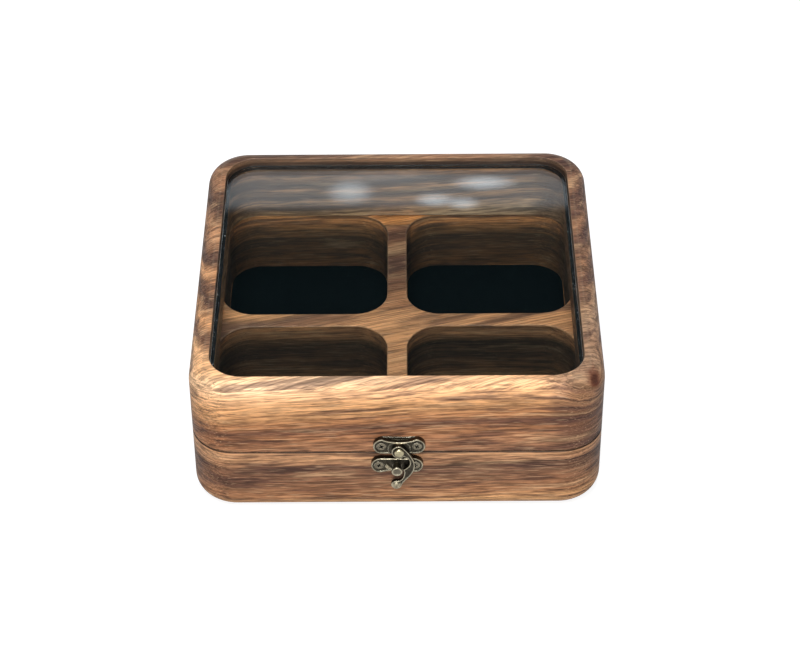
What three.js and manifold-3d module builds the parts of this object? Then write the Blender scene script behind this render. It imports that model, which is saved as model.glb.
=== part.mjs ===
// Display case for coins and medals. A block of edge-glued walnut, rounded on every
// outer edge, is sawn at mid-height into a base and a lid. The base has four lined
// pockets, the lid holds a sunk glass pane, two butt hinges join them at the back and
// a swing-hook latch closes them at the front.
// Millimetres, +Z up. Origin: centre of the underside. The latch faces -Y.

import * as THREE from "three";
import { mergeVertices } from "three/addons/utils/BufferGeometryUtils.js";
import Module from "manifold-3d";

// ---- Driving dimensions: case ------------------------------------------------
const caseWidth = 210;
const caseDepth = 210;
const baseHeight = 40;
const lidHeight = 41.7;
const seamGap = 0.3; // saw-cut line left between base and lid
const cornerRadius = 22.4; // outer corners, seen from above
const edgeRound = 10; // quarter round along the top and bottom edges

// ---- Driving dimensions: pockets ---------------------------------------------
const pocketColumns = ["left", "right"];
const pocketRows = ["front", "back"];
const baseWall = 9.6; // outer face to pocket
const barWidth = 10.8; // wood left between neighbouring pockets
const pocketFloor = 3;
const pocketCornerRadius = 18;
const feltThickness = 1;
const feltClearance = 0.3;

// ---- Driving dimensions: lid and glass ---------------------------------------
const openingInset = 10.4; // outer face to the edge of the sight opening
const openingCornerRadius = 17.3;
const lidWall = 10.6; // outer face to the hollow under the glass
const glassRecess = 4.6; // top of the lid down to the glass
const glassThickness = 3;
const glassClearance = 0.3;
const beddingThickness = 0.4;
const lipWidth = 2.2; // ledge that carries the glass
const lipThickness = 3;

// ---- Driving dimensions: hinges ----------------------------------------------
const hingeSides = { left: -1, right: 1 };
const hingeSpacing = 110;
const leafWidth = 25;
const leafHeight = 14;
const leafThickness = 1.2;
const knuckleRadius = 2.4;
const knuckleStandoff = 0.2; // knuckle barrel to the back of the case
const knuckleGap = 0.3; // between neighbouring knuckles, end to end
const middleKnuckleLength = 8.4;
const hingePinRadius = 1.2;
const hingePinClearance = 0.1;
const pinHeadRadius = 1.9;
const pinHeadLength = 0.8;
const hingeScrewSpacing = 15;
const hingeScrewDrop = 8.6; // seam to the row of screws

// ---- Driving dimensions: latch -----------------------------------------------
const plateThickness = 3;
const earRadius = 4.65;
const upperPlate = { x: 1.0, earOffset: 8.5, screwOffset: 9.0, aboveSeam: 6.1, dip: 2.0 };
const lowerPlate = { x: -0.1, earOffset: 8.5, screwOffset: 9.2, aboveSeam: -6.6, dip: 1.2 };
const hookThickness = 2.1;
const bossRadius = 5.6; // raised seat round the pivot
const bossThickness = 0.4;
const pivotAboveSeam = 4.6;
const rivetShankRadius = 1.5;
const rivetHeadRadius = 2.45;
const rivetHeadHeight = 1.1;
const runningClearance = 0.15; // hook to rivet, boss and rivet head
const pegX = -0.15;
const pegBelowSeam = 7.0;
const pegShankRadius = 2.0;
const pegHeadRadius = 2.9;
const pegHeadHeight = 1.3;
const pegStandoff = 0.6; // front of the hook to the back of the peg's head
const fitClearance = 0.1; // riveted shanks in their plates
const eyeRadius = 3.9;
const tailRadius = 2.7;
const tailFlattening = 0.75; // of the round finger tail, front to back
const rivetCrown = { straight: 0.65, chamfer: 0.6, dome: 0.1 };
const pegCrown = { underside: 0.3, bevel: 0.4, chamfer: 0.5 };

// ---- Driving dimensions: screws ----------------------------------------------
const seat = 0.05; // hairline between metal fittings and wood
const latchScrew = { head: 2.3, shank: 1.2, length: 9.4, recess: 2.6, slot: 0.6 };
const hingeScrew = { head: 1.9, shank: 1.0, length: 7.6, recess: 2.2, slot: 0.5 };
const headRim = 0.15; // straight edge of a countersunk head
const recessDepth = 0.9;
const countersinkClearance = 0.15;
const pilotClearance = 0.3;

// ---- Worked out from the above -----------------------------------------------
const lidBottom = baseHeight + seamGap;
const caseHeight = lidBottom + lidHeight;
const seamHeight = baseHeight + seamGap / 2;
const pocketWidth = (caseWidth - 2 * baseWall - barWidth) / 2;
const pocketDepth = (caseDepth - 2 * baseWall - barWidth) / 2;
const glassTop = caseHeight - glassRecess;
const glassBottom = glassTop - glassThickness;
const lipTop = glassBottom - beddingThickness;
const lipBottom = lipTop - lipThickness;
const openingWidth = caseWidth - 2 * openingInset;
const openingDepth = caseDepth - 2 * openingInset;
const front = -caseDepth / 2;
const back = caseDepth / 2;
const hingeAxisY = back + knuckleRadius + knuckleStandoff;
const pivotHeight = seamHeight + pivotAboveSeam;
const plateFront = plateThickness + seat; // proud of the case
const hookBack = plateFront + bossThickness + runningClearance;
const hookFront = hookBack + hookThickness;
const pegProud = hookFront + pegStandoff + pegHeadHeight; // front of the case to the peg's face
const passThrough = 5; // how far a cutter runs past the face it starts from

const wasm = await Module();
wasm.setup();

// ---- Solids and meshes -------------------------------------------------------
function toSolid(geometry) {
  const bare = geometry.clone();
  bare.deleteAttribute("normal");
  bare.deleteAttribute("uv");
  const merged = mergeVertices(bare, 1e-4);
  return new wasm.Manifold(
    new wasm.Mesh({
      numProp: 3,
      vertProperties: Float32Array.from(merged.attributes.position.array),
      triVerts: Uint32Array.from(merged.index.array),
    }),
  );
}

function toGeometry(solid) {
  const { vertProperties, triVerts } = solid.getMesh();
  const shared = new THREE.BufferGeometry();
  shared.setAttribute("position", new THREE.BufferAttribute(vertProperties, 3));
  shared.setIndex(new THREE.BufferAttribute(triVerts, 1));
  const geometry = shared.toNonIndexed();
  geometry.computeVertexNormals();
  return geometry;
}

function piece(name, shape, material) {
  const geometry = shape.isBufferGeometry ? shape : toGeometry(shape);
  const mesh = new THREE.Mesh(geometry, material);
  mesh.name = name;
  return mesh;
}

// ---- Basic shapes ------------------------------------------------------------
function roundedRectangle(width, depth, radius) {
  const shape = new THREE.Shape();
  const x = width / 2 - radius;
  const y = depth / 2 - radius;
  const quarter = Math.PI / 2;
  shape.absarc(x, -y, radius, -quarter, 0);
  shape.absarc(x, y, radius, 0, quarter);
  shape.absarc(-x, y, radius, quarter, 2 * quarter);
  shape.absarc(-x, -y, radius, 2 * quarter, 3 * quarter);
  shape.closePath();
  return shape;
}

function disc(radius, x = 0, y = 0) {
  const shape = new THREE.Shape();
  shape.absarc(x, y, radius, 0, 2 * Math.PI);
  return shape;
}

// A flat shape given height, standing between two levels.
function prism(shape, bottom, top, curveSegments = 4) {
  const depth = top - bottom;
  const geometry = new THREE.ExtrudeGeometry(shape, { depth, bevelEnabled: false, curveSegments });
  return geometry.translate(0, 0, bottom);
}

// The same, drawn in the X-Z plane and growing forwards from the front of the case.
function frontPrism(shape, from, to, curveSegments = 6) {
  return prism(shape, from, to, curveSegments)
    .rotateX(Math.PI / 2)
    .translate(0, front, 0);
}

function slab(low, high) {
  const size = new THREE.Vector3().subVectors(high, low);
  const centre = new THREE.Vector3().addVectors(low, high).multiplyScalar(0.5);
  return new THREE.BoxGeometry(size.x, size.y, size.z).translate(centre.x, centre.y, centre.z);
}

// A turned piece on the Y axis: pairs of radius and height, from the foot upwards.
function turned(profile, segments = 16) {
  const points = profile.map(([radius, height]) => new THREE.Vector2(radius, height));
  return new THREE.LatheGeometry(points, segments);
}

// ---- Screws ------------------------------------------------------------------
// A countersunk cross-head screw on the Y axis, its head's face at 0 and its tip at +Y.
function screwSolid({ head, shank, length, recess, slot }) {
  const coneDepth = head - shank;
  const tip = shank;
  const body = turned([
    [0, 0],
    [head, 0],
    [head, headRim],
    [shank, headRim + coneDepth],
    [shank, length - tip],
    [0, length],
  ]);
  const bar = (width, height) =>
    toSolid(new THREE.BoxGeometry(width, 2 * recessDepth, height));
  return toSolid(outwards(body)).subtract(bar(recess, slot)).subtract(bar(slot, recess));
}

// The room a screw needs in a plate: its own shape grown by the clearance.
function countersinkSolid({ head, shank, length }) {
  const c = countersinkClearance;
  const coneDepth = head - shank;
  return toSolid(
    outwards(
      turned([
        [0, -passThrough],
        [head + c, -passThrough],
        [head + c, headRim + c],
        [shank + c, headRim + c + coneDepth],
        [shank + c, length],
        [0, length],
      ]),
    ),
  );
}

function pilotSolid({ shank, length }) {
  const radius = shank + pilotClearance;
  return toSolid(
    outwards(
      turned([
        [0, 0],
        [radius, 0],
        [radius, length + pilotClearance],
        [0, length + pilotClearance],
      ]),
    ),
  );
}

// Turned profiles run from foot to tip here; this makes their faces point outwards.
function outwards(geometry) {
  const position = geometry.attributes.position;
  const index = geometry.index;
  const [a, b, c] = [new THREE.Vector3(), new THREE.Vector3(), new THREE.Vector3()];
  let volume = 0;
  for (let i = 0; i < index.count; i += 3) {
    a.fromBufferAttribute(position, index.getX(i));
    b.fromBufferAttribute(position, index.getX(i + 1));
    c.fromBufferAttribute(position, index.getX(i + 2));
    volume += a.dot(b.cross(c));
  }
  if (volume >= 0) return geometry;
  for (let i = 0; i < index.count; i += 3) {
    const second = index.getX(i + 1);
    index.setX(i + 1, index.getX(i + 2));
    index.setX(i + 2, second);
  }
  return geometry;
}

// Puts a solid made on the Y axis at a screw's place: 1 faces the front, -1 the back.
function placeScrew(solid, { x, y, z, facing }) {
  const turnedRound = facing > 0 ? solid : solid.rotate([0, 0, 180]);
  return turnedRound.translate([x, y, z]);
}

const latchScrewPlaces = {};
for (const [level, plate] of Object.entries({ upper: upperPlate, lower: lowerPlate })) {
  for (const [side, sign] of Object.entries({ left: -1, right: 1 })) {
    latchScrewPlaces[`latch_screw_${level}_${side}`] = {
      x: plate.x + sign * plate.screwOffset,
      y: front - plateFront,
      z: seamHeight + plate.aboveSeam,
      facing: 1,
    };
  }
}

function hingeScrewPlaces(side, leaf) {
  const places = {};
  const up = leaf === "lid" ? 1 : -1;
  [-1, 1].forEach((sign, number) => {
    places[`hinge_${side}_${leaf}_screw_${number + 1}`] = {
      x: (hingeSides[side] * hingeSpacing) / 2 + (sign * hingeScrewSpacing) / 2,
      y: back + seat + leafThickness,
      z: seamHeight + up * hingeScrewDrop,
      facing: -1,
    };
  });
  return places;
}

// ---- Case --------------------------------------------------------------------
// The whole rounded block, before it is sawn at the seam.
function roundedBlock() {
  const outline = roundedRectangle(caseWidth, caseDepth, cornerRadius);
  const geometry = new THREE.ExtrudeGeometry(outline, {
    depth: caseHeight - 2 * edgeRound,
    bevelEnabled: true,
    bevelThickness: edgeRound,
    bevelSize: edgeRound,
    bevelOffset: -edgeRound,
    bevelSegments: 5,
    curveSegments: 4,
  });
  return toSolid(geometry.translate(0, 0, edgeRound));
}

function between(bottom, top) {
  const low = new THREE.Vector3(-caseWidth, -caseDepth, bottom);
  const high = new THREE.Vector3(caseWidth, caseDepth, top);
  return toSolid(slab(low, high));
}

function drillPilots(wood, places, screw) {
  return Object.values(places).reduce(
    (solid, place) => solid.subtract(placeScrew(pilotSolid(screw), place)),
    wood,
  );
}

function pocketCentre(column, row) {
  const x = (pocketWidth + barWidth) / 2;
  const y = (pocketDepth + barWidth) / 2;
  return [column === "left" ? -x : x, row === "front" ? -y : y];
}

function pocketSolid(column, row) {
  const [x, y] = pocketCentre(column, row);
  const outline = roundedRectangle(pocketWidth, pocketDepth, pocketCornerRadius);
  return toSolid(prism(outline, pocketFloor, baseHeight + passThrough).translate(x, y, 0));
}

function baseSolid() {
  let wood = roundedBlock().intersect(between(-passThrough, baseHeight));
  for (const column of pocketColumns) {
    for (const row of pocketRows) wood = wood.subtract(pocketSolid(column, row));
  }
  const { latch_screw_lower_left, latch_screw_lower_right } = latchScrewPlaces;
  wood = drillPilots(wood, { latch_screw_lower_left, latch_screw_lower_right }, latchScrew);
  for (const side of Object.keys(hingeSides)) {
    wood = drillPilots(wood, hingeScrewPlaces(side, "base"), hingeScrew);
  }
  return wood;
}

function lidSolid() {
  const opening = (grow, bottom, top) => {
    const width = openingWidth + 2 * grow;
    const depth = openingDepth + 2 * grow;
    return toSolid(
      prism(roundedRectangle(width, depth, openingCornerRadius + grow), bottom, top),
    );
  };
  let wood = roundedBlock().intersect(between(lidBottom, caseHeight + passThrough));
  wood = wood.subtract(opening(0, lipTop, caseHeight + passThrough));
  wood = wood.subtract(opening(-lipWidth, lidBottom - passThrough, caseHeight));
  wood = wood.subtract(opening(openingInset - lidWall, lidBottom - passThrough, lipBottom));
  const { latch_screw_upper_left, latch_screw_upper_right } = latchScrewPlaces;
  wood = drillPilots(wood, { latch_screw_upper_left, latch_screw_upper_right }, latchScrew);
  for (const side of Object.keys(hingeSides)) {
    wood = drillPilots(wood, hingeScrewPlaces(side, "lid"), hingeScrew);
  }
  return wood;
}

function feltPad(column, row) {
  const [x, y] = pocketCentre(column, row);
  const outline = roundedRectangle(
    pocketWidth - 2 * feltClearance,
    pocketDepth - 2 * feltClearance,
    pocketCornerRadius - feltClearance,
  );
  return prism(outline, pocketFloor, pocketFloor + feltThickness).translate(x, y, 0);
}

function glassOutline() {
  return roundedRectangle(
    openingWidth - 2 * glassClearance,
    openingDepth - 2 * glassClearance,
    openingCornerRadius - glassClearance,
  );
}

function glassBedding() {
  const ring = glassOutline();
  ring.holes.push(
    roundedRectangle(
      openingWidth - 2 * lipWidth,
      openingDepth - 2 * lipWidth,
      openingCornerRadius - lipWidth,
    ),
  );
  return prism(ring, lipTop, glassBottom);
}

// ---- Hinges ------------------------------------------------------------------
function barrel(radius, fromX, toX, segments = 24) {
  return toSolid(
    new THREE.CylinderGeometry(radius, radius, toX - fromX, segments)
      .rotateZ(Math.PI / 2)
      .translate((fromX + toX) / 2, hingeAxisY, seamHeight),
  );
}

function hingeLeaf(side, leaf) {
  const centre = (hingeSides[side] * hingeSpacing) / 2;
  const up = leaf === "lid" ? 1 : -1;
  const inner = middleKnuckleLength / 2;
  const outer = leafWidth / 2;
  const spans =
    leaf === "lid"
      ? [[-inner, inner]]
      : [
          [-outer, -inner - knuckleGap],
          [inner + knuckleGap, outer],
        ];
  // The plate reaches the seam only beside its own knuckles, and stops short elsewhere.
  const edge = knuckleRadius + knuckleGap;
  const plate = toSolid(
    slab(
      new THREE.Vector3(centre - outer, back + seat, Math.min(up * edge, up * leafHeight)),
      new THREE.Vector3(
        centre + outer,
        back + seat + leafThickness,
        Math.max(up * edge, up * leafHeight),
      ),
    ).translate(0, 0, seamHeight),
  );
  let solid = plate;
  for (const [from, to] of spans) {
    const web = slab(
      new THREE.Vector3(centre + from, back + seat, Math.min(0, up * edge)),
      new THREE.Vector3(centre + to, back + seat + leafThickness, Math.max(0, up * edge)),
    ).translate(0, 0, seamHeight);
    solid = solid.add(toSolid(web)).add(barrel(knuckleRadius, centre + from, centre + to));
  }
  solid = solid.subtract(
    barrel(
      hingePinRadius + hingePinClearance,
      centre - outer - passThrough,
      centre + outer + passThrough,
    ),
  );
  for (const place of Object.values(hingeScrewPlaces(side, leaf))) {
    solid = solid.subtract(placeScrew(countersinkSolid(hingeScrew), place));
  }
  return solid;
}

function hingePin(side) {
  const centre = (hingeSides[side] * hingeSpacing) / 2;
  const end = leafWidth / 2 + fitClearance;
  return barrel(hingePinRadius, centre - end, centre + end)
    .add(barrel(pinHeadRadius, centre - end - pinHeadLength, centre - end))
    .add(barrel(pinHeadRadius, centre + end, centre + end + pinHeadLength));
}

// ---- Latch -------------------------------------------------------------------
// A plate with a round ear at each end. One long edge is straight, and the other dips
// at the middle; edgeSide is 1 with the dip at the top and -1 with it below. The curve
// falls three quarters of the way to its two handles, which sets how deep they lie.
function earPlate({ earOffset, dip }, edgeSide) {
  const shape = new THREE.Shape();
  const quarter = Math.PI / 2;
  const waist = earRadius - (dip * 4) / 3;
  const reach = earOffset * 0.35;
  shape.absarc(-earOffset, 0, earRadius, quarter, 3 * quarter);
  shape.absarc(earOffset, 0, earRadius, -quarter, quarter);
  shape.bezierCurveTo(reach, waist, -reach, waist, -earOffset, earRadius);
  if (edgeSide > 0) return shape;
  const mirrored = shape.getPoints(6).map((point) => new THREE.Vector2(point.x, -point.y));
  return new THREE.Shape(mirrored.reverse());
}

function cutForScrews(plate, level) {
  return Object.entries(latchScrewPlaces)
    .filter(([name]) => name.includes(level))
    .reduce(
      (solid, [, place]) => solid.subtract(placeScrew(countersinkSolid(latchScrew), place)),
      plate,
    );
}

function upperPlateSolid() {
  const centre = [upperPlate.x, 0, seamHeight + upperPlate.aboveSeam];
  const outline = earPlate(upperPlate, 1);
  const plate = toSolid(frontPrism(outline, seat, plateFront)).translate(centre);
  const bossDisc = disc(bossRadius, upperPlate.x, pivotHeight);
  const boss = toSolid(frontPrism(bossDisc, seat, plateFront + bossThickness)).intersect(
    toSolid(frontPrism(outline, seat, hookBack)).translate(centre),
  );
  const hole = disc(rivetShankRadius + fitClearance, upperPlate.x, pivotHeight);
  return cutForScrews(plate.add(boss), "upper").subtract(
    toSolid(frontPrism(hole, -passThrough, passThrough)),
  );
}

// A short raised thorn on the lower plate that runs down towards the foot of the peg.
function pegSpur() {
  const spur = new THREE.Shape();
  spur.moveTo(-5.3, 1.8);
  spur.lineTo(-6.2, 0.2);
  spur.lineTo(-5.3, -1.3);
  spur.lineTo(-2.4, -2.1);
  spur.lineTo(-2.7, -1.2);
  spur.closePath();
  return toSolid(frontPrism(spur, seat, plateFront + bossThickness));
}

function lowerPlateSolid() {
  const centre = [lowerPlate.x, 0, seamHeight + lowerPlate.aboveSeam];
  const plate = toSolid(frontPrism(earPlate(lowerPlate, -1), seat, plateFront)).translate(centre);
  const pegPlace = [pegX, 0, seamHeight - pegBelowSeam];
  const hole = disc(pegShankRadius + fitClearance, pegX, seamHeight - pegBelowSeam);
  return cutForScrews(plate.add(pegSpur().translate(pegPlace)), "lower").subtract(
    toSolid(frontPrism(hole, -passThrough, 2 * passThrough)),
  );
}

// The hook hangs from its pivot at (0, 0): an eye, a crescent that bows to the right,
// a shoulder that closes beside the peg, and a neck down to a round finger tail.
const tailCentre = new THREE.Vector2(-1.5, -22.1);

function hookOutline() {
  const shape = new THREE.Shape();
  const eyeEnd = -0.64;
  const tailStart = 1.25;
  const tailEnd = 2 * Math.PI - 0.17;
  shape.absarc(0, 0, eyeRadius, Math.PI / 2, 2 * Math.PI + eyeEnd);
  shape.bezierCurveTo(6.9, -3.2, 7.0, -10.2, 2.0, -11.7);
  const start = new THREE.Vector2(Math.cos(tailStart), Math.sin(tailStart))
    .multiplyScalar(tailRadius)
    .add(tailCentre);
  shape.bezierCurveTo(3.0, -13.6, 2.4, -18.9, start.x, start.y);
  shape.absarc(tailCentre.x, tailCentre.y, tailRadius, tailStart, tailEnd);
  shape.bezierCurveTo(2.0, -18.9, 7.9, -15.6, 7.9, -9.3);
  shape.bezierCurveTo(7.95, -4.2, 2.2, eyeRadius, 0, eyeRadius);
  shape.holes.push(disc(rivetShankRadius + runningClearance));
  return shape;
}

function hookSolid() {
  const tail = new THREE.SphereGeometry(tailRadius, 16, 10)
    .scale(1, tailFlattening, 1)
    .translate(tailCentre.x, front - (hookBack + hookFront) / 2, tailCentre.y);
  return toSolid(frontPrism(hookOutline(), hookBack, hookFront))
    .add(toSolid(tail))
    .translate([upperPlate.x, 0, pivotHeight]);
}

// Turned on the Y axis with the foot at 0 and the head at +Y, then faced to the front.
function frontTurned(profile, x, z, segments = 20) {
  return outwards(turned(profile, segments))
    .rotateX(Math.PI)
    .translate(x, front - seat, z);
}

function pivotRivet() {
  const underHead = hookFront + runningClearance - seat;
  const crown = underHead + rivetHeadHeight;
  return frontTurned(
    [
      [0, 0],
      [rivetShankRadius, 0],
      [rivetShankRadius, underHead],
      [rivetHeadRadius, underHead],
      [rivetHeadRadius, underHead + rivetCrown.straight],
      [rivetHeadRadius - rivetCrown.chamfer, crown - rivetCrown.dome],
      [0, crown],
    ],
    upperPlate.x,
    pivotHeight,
  );
}

function latchPeg() {
  const crown = pegProud - seat;
  const underHead = crown - pegHeadHeight;
  return frontTurned(
    [
      [0, 0],
      [pegShankRadius, 0],
      [pegShankRadius, underHead],
      [pegHeadRadius, underHead + pegCrown.underside],
      [pegHeadRadius, crown - pegCrown.bevel],
      [pegHeadRadius - pegCrown.chamfer, crown],
      [0, crown],
    ],
    pegX,
    seamHeight - pegBelowSeam,
  );
}

// ---- Materials ---------------------------------------------------------------
const walnut = new THREE.MeshStandardMaterial({ color: 0x8a5a3c, roughness: 0.5 });
const felt = new THREE.MeshStandardMaterial({ color: 0x0a1a20, roughness: 1 });
const glass = new THREE.MeshStandardMaterial({
  color: 0xdfe8ea,
  roughness: 0.05,
  transparent: true,
  opacity: 0.2,
});
const bedding = new THREE.MeshStandardMaterial({ color: 0x15171a, roughness: 0.8 });
const bronze = new THREE.MeshStandardMaterial({ color: 0x7d6f52, roughness: 0.4, metalness: 1 });

// ---- Assembly ----------------------------------------------------------------
const displayCase = new THREE.Group();

displayCase.add(piece("base_block", baseSolid(), walnut));
for (const row of pocketRows) {
  for (const column of pocketColumns) {
    displayCase.add(piece(`felt_pad_${row}_${column}`, feltPad(column, row), felt));
  }
}

displayCase.add(piece("lid_frame", lidSolid(), walnut));
displayCase.add(piece("glass_bedding", glassBedding(), bedding));
displayCase.add(piece("glass_pane", prism(glassOutline(), glassBottom, glassTop), glass));

for (const side of Object.keys(hingeSides)) {
  for (const leaf of ["base", "lid"]) {
    displayCase.add(piece(`hinge_${side}_${leaf}_leaf`, hingeLeaf(side, leaf), bronze));
    for (const [name, place] of Object.entries(hingeScrewPlaces(side, leaf))) {
      displayCase.add(piece(name, placeScrew(screwSolid(hingeScrew), place), bronze));
    }
  }
  displayCase.add(piece(`hinge_${side}_pin`, hingePin(side), bronze));
}

displayCase.add(piece("latch_upper_plate", upperPlateSolid(), bronze));
displayCase.add(piece("latch_pivot_rivet", pivotRivet(), bronze));
displayCase.add(piece("latch_hook", hookSolid(), bronze));
displayCase.add(piece("latch_lower_plate", lowerPlateSolid(), bronze));
displayCase.add(piece("latch_peg", latchPeg(), bronze));
for (const [name, place] of Object.entries(latchScrewPlaces)) {
  displayCase.add(piece(name, placeScrew(screwSolid(latchScrew), place), bronze));
}

export default displayCase;
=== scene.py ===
"""The finished look of a walnut display case for coins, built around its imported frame.

A block of edge-glued walnut is sawn at mid-height into a base with four felt-lined
pockets and a lid with a sunk pane. Two butt hinges join them at the back, and a
swing-hook latch closes them at the front. Each sub-assembly is a class that reads its
place from the frame, builds its meshes and dresses them in its finish.

Meshes are drawn in millimetres and brought to metres when a piece is finished. The
frame is +Z up with the latch facing -Y.
"""

import logging
import math
from dataclasses import dataclass, field, replace
from enum import Enum

import bmesh
import bpy
from bmesh.types import BMEdge, BMesh
from mathutils import Matrix, Quaternion, Vector


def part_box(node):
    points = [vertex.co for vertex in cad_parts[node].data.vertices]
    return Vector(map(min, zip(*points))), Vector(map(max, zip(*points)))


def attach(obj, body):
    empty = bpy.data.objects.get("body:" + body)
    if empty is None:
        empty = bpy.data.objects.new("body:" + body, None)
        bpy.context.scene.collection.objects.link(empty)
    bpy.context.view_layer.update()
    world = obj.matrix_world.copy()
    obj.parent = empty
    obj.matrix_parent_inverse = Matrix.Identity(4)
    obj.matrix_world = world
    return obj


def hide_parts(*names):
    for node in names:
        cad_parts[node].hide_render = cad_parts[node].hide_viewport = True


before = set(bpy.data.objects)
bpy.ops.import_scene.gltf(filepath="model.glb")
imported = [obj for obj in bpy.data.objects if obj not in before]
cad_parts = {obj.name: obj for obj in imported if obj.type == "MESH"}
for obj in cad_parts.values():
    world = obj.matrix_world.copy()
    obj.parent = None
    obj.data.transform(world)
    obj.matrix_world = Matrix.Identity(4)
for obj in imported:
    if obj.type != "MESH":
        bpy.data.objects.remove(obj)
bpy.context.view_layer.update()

LOG = logging.getLogger("display_case")
MM = 0.001
WELD = 1e-4  # mm, closer vertices are one
HAIR = 0.002  # mm, keeps two neighbouring rings out of one plane
SHARP = math.radians(38)
ROUND_STEPS = 16  # facets round a quarter of a case corner
FRONT = Matrix.Rotation(math.radians(90), 4, "X")  # drawn flat, then stood up to face -Y
SEAM_HEIGHT = 40.15  # mm, the middle of the saw cut between base and lid


class Cut(Enum):
    """How one solid works on another."""

    AWAY = "DIFFERENCE"
    JOIN = "UNION"
    SHARED = "INTERSECT"


class Side(Enum):
    """The two halves of the case, or of its width."""

    LEFT = -1
    RIGHT = 1


# ---- Measures from the frame ---------------------------------------------------------
def box_mm(node: str) -> tuple[Vector, Vector]:
    """The lowest and highest corner of a frame node.

    Args:
        node: the node's name.

    Returns:
        Both corners, in millimetres.
    """
    low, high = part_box(node)
    return low / MM, high / MM


def middle_mm(node: str) -> Vector:
    """The centre of a frame node's box, in millimetres."""
    low, high = box_mm(node)
    return (low + high) / 2


# ---- Making meshes -------------------------------------------------------------------
@dataclass(frozen=True)
class Ring:
    """A level rounded rectangle, in millimetres."""

    half_x: float
    half_y: float
    radius: float
    height: float
    centre: tuple[float, float] = (0.0, 0.0)

    def grown(self, by: float, height: float) -> "Ring":
        """The same outline moved outwards, at another height."""
        return Ring(self.half_x + by, self.half_y + by, self.radius + by, height, self.centre)

    def draw(self, bm: BMesh, steps: int = ROUND_STEPS) -> list[BMEdge]:
        """Adds the outline to a mesh as a closed loop of edges.

        Args:
            bm: the mesh to draw in.
            steps: how many facets each corner has.

        Returns:
            The loop's edges.
        """
        before = set(bm.edges)
        place = Matrix.Translation((*self.centre, self.height)) @ Matrix.Diagonal(
            (2 * self.half_x, 2 * self.half_y, 1, 1)
        )
        square = bmesh.ops.create_grid(bm, x_segments=1, y_segments=1, size=0.5, matrix=place)
        bmesh.ops.bevel(
            bm, geom=square["verts"], offset=self.radius, offset_type="OFFSET",
            segments=steps, profile=0.5, affect="VERTICES", material=-1, clamp_overlap=False,
        )
        edges = [edge for edge in bm.edges if edge not in before]
        faces = list({face for edge in edges for face in edge.link_faces})
        bmesh.ops.delete(bm, geom=faces, context="FACES_ONLY")
        return edges


def quarter_round(ring: Ring, radius: float, start: float, turn: int, steps: int) -> list[Ring]:
    """Rings that carry a wall round a quarter circle.

    Args:
        ring: the wall's outline.
        radius: of the round; below zero it leads outwards.
        start: the height where the round leaves the wall.
        turn: 1 where the wall is left upwards, -1 downwards.
        steps: how many facets the round has.

    Returns:
        The rings, from the wall's end onwards.
    """
    rings = []
    for step in range(steps + 1):
        angle = math.pi / 2 * step / steps
        inset = radius * (1 - math.cos(angle))
        rings.append(ring.grown(-inset, start + turn * abs(radius) * math.sin(angle)))
    return rings


def loft(bm: BMesh, rings: list[Ring], closed: bool = False) -> list[list[BMEdge]]:
    """Skins a stack of rings.

    Args:
        bm: the mesh to build in.
        rings: the outlines in order, all with the same number of points.
        closed: whether the last ring joins the first.

    Returns:
        Each ring's loop of edges.
    """
    loops = [ring.draw(bm) for ring in rings]
    pairs = list(zip(loops, loops[1:]))
    if closed:
        pairs.append((loops[-1], loops[0]))
    for first, second in pairs:
        bmesh.ops.bridge_loops(bm, edges=first + second)
    return loops


def cap(bm: BMesh, loop: list[BMEdge]) -> None:
    """Closes one loop with a flat face."""
    bmesh.ops.edgeloop_fill(bm, edges=loop)


def turned(profile: list[tuple[float, float]], steps: int = 40) -> BMesh:
    """A piece turned about the Z axis.

    Args:
        profile: pairs of radius and height, from foot to crown, both on the axis.
        steps: how many facets it has all round.

    Returns:
        The closed solid.
    """
    bm = bmesh.new()
    points = [bm.verts.new((radius, 0, height)) for radius, height in profile]
    edges = [bm.edges.new(pair) for pair in zip(points, points[1:])]
    bmesh.ops.spin(
        bm, geom=points + edges, cent=(0, 0, 0), axis=(0, 0, 1), angle=2 * math.pi,
        steps=steps, use_merge=True, use_duplicate=False,
    )
    return cleaned(bm)


def cleaned(bm: BMesh) -> BMesh:
    """Merges doubles and turns every face outwards.

    Args:
        bm: the mesh to clean.

    Returns:
        The same mesh.
    """
    bmesh.ops.remove_doubles(bm, verts=bm.verts, dist=WELD)
    bmesh.ops.recalc_face_normals(bm, faces=bm.faces)
    return bm


def block(low: Vector, high: Vector) -> BMesh:
    """A rectangular solid between two corners.

    Args:
        low: its lowest corner.
        high: its highest corner.

    Returns:
        The closed solid.
    """
    bm = bmesh.new()
    place = Matrix.Translation((low + high) / 2) @ Matrix.Diagonal((*(high - low), 1))
    bmesh.ops.create_cube(bm, size=1, matrix=place)
    return bm


def moved(bm: BMesh, matrix: Matrix) -> BMesh:
    """The same mesh, moved or turned."""
    bmesh.ops.transform(bm, matrix=matrix, verts=bm.verts)
    return bm


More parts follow.
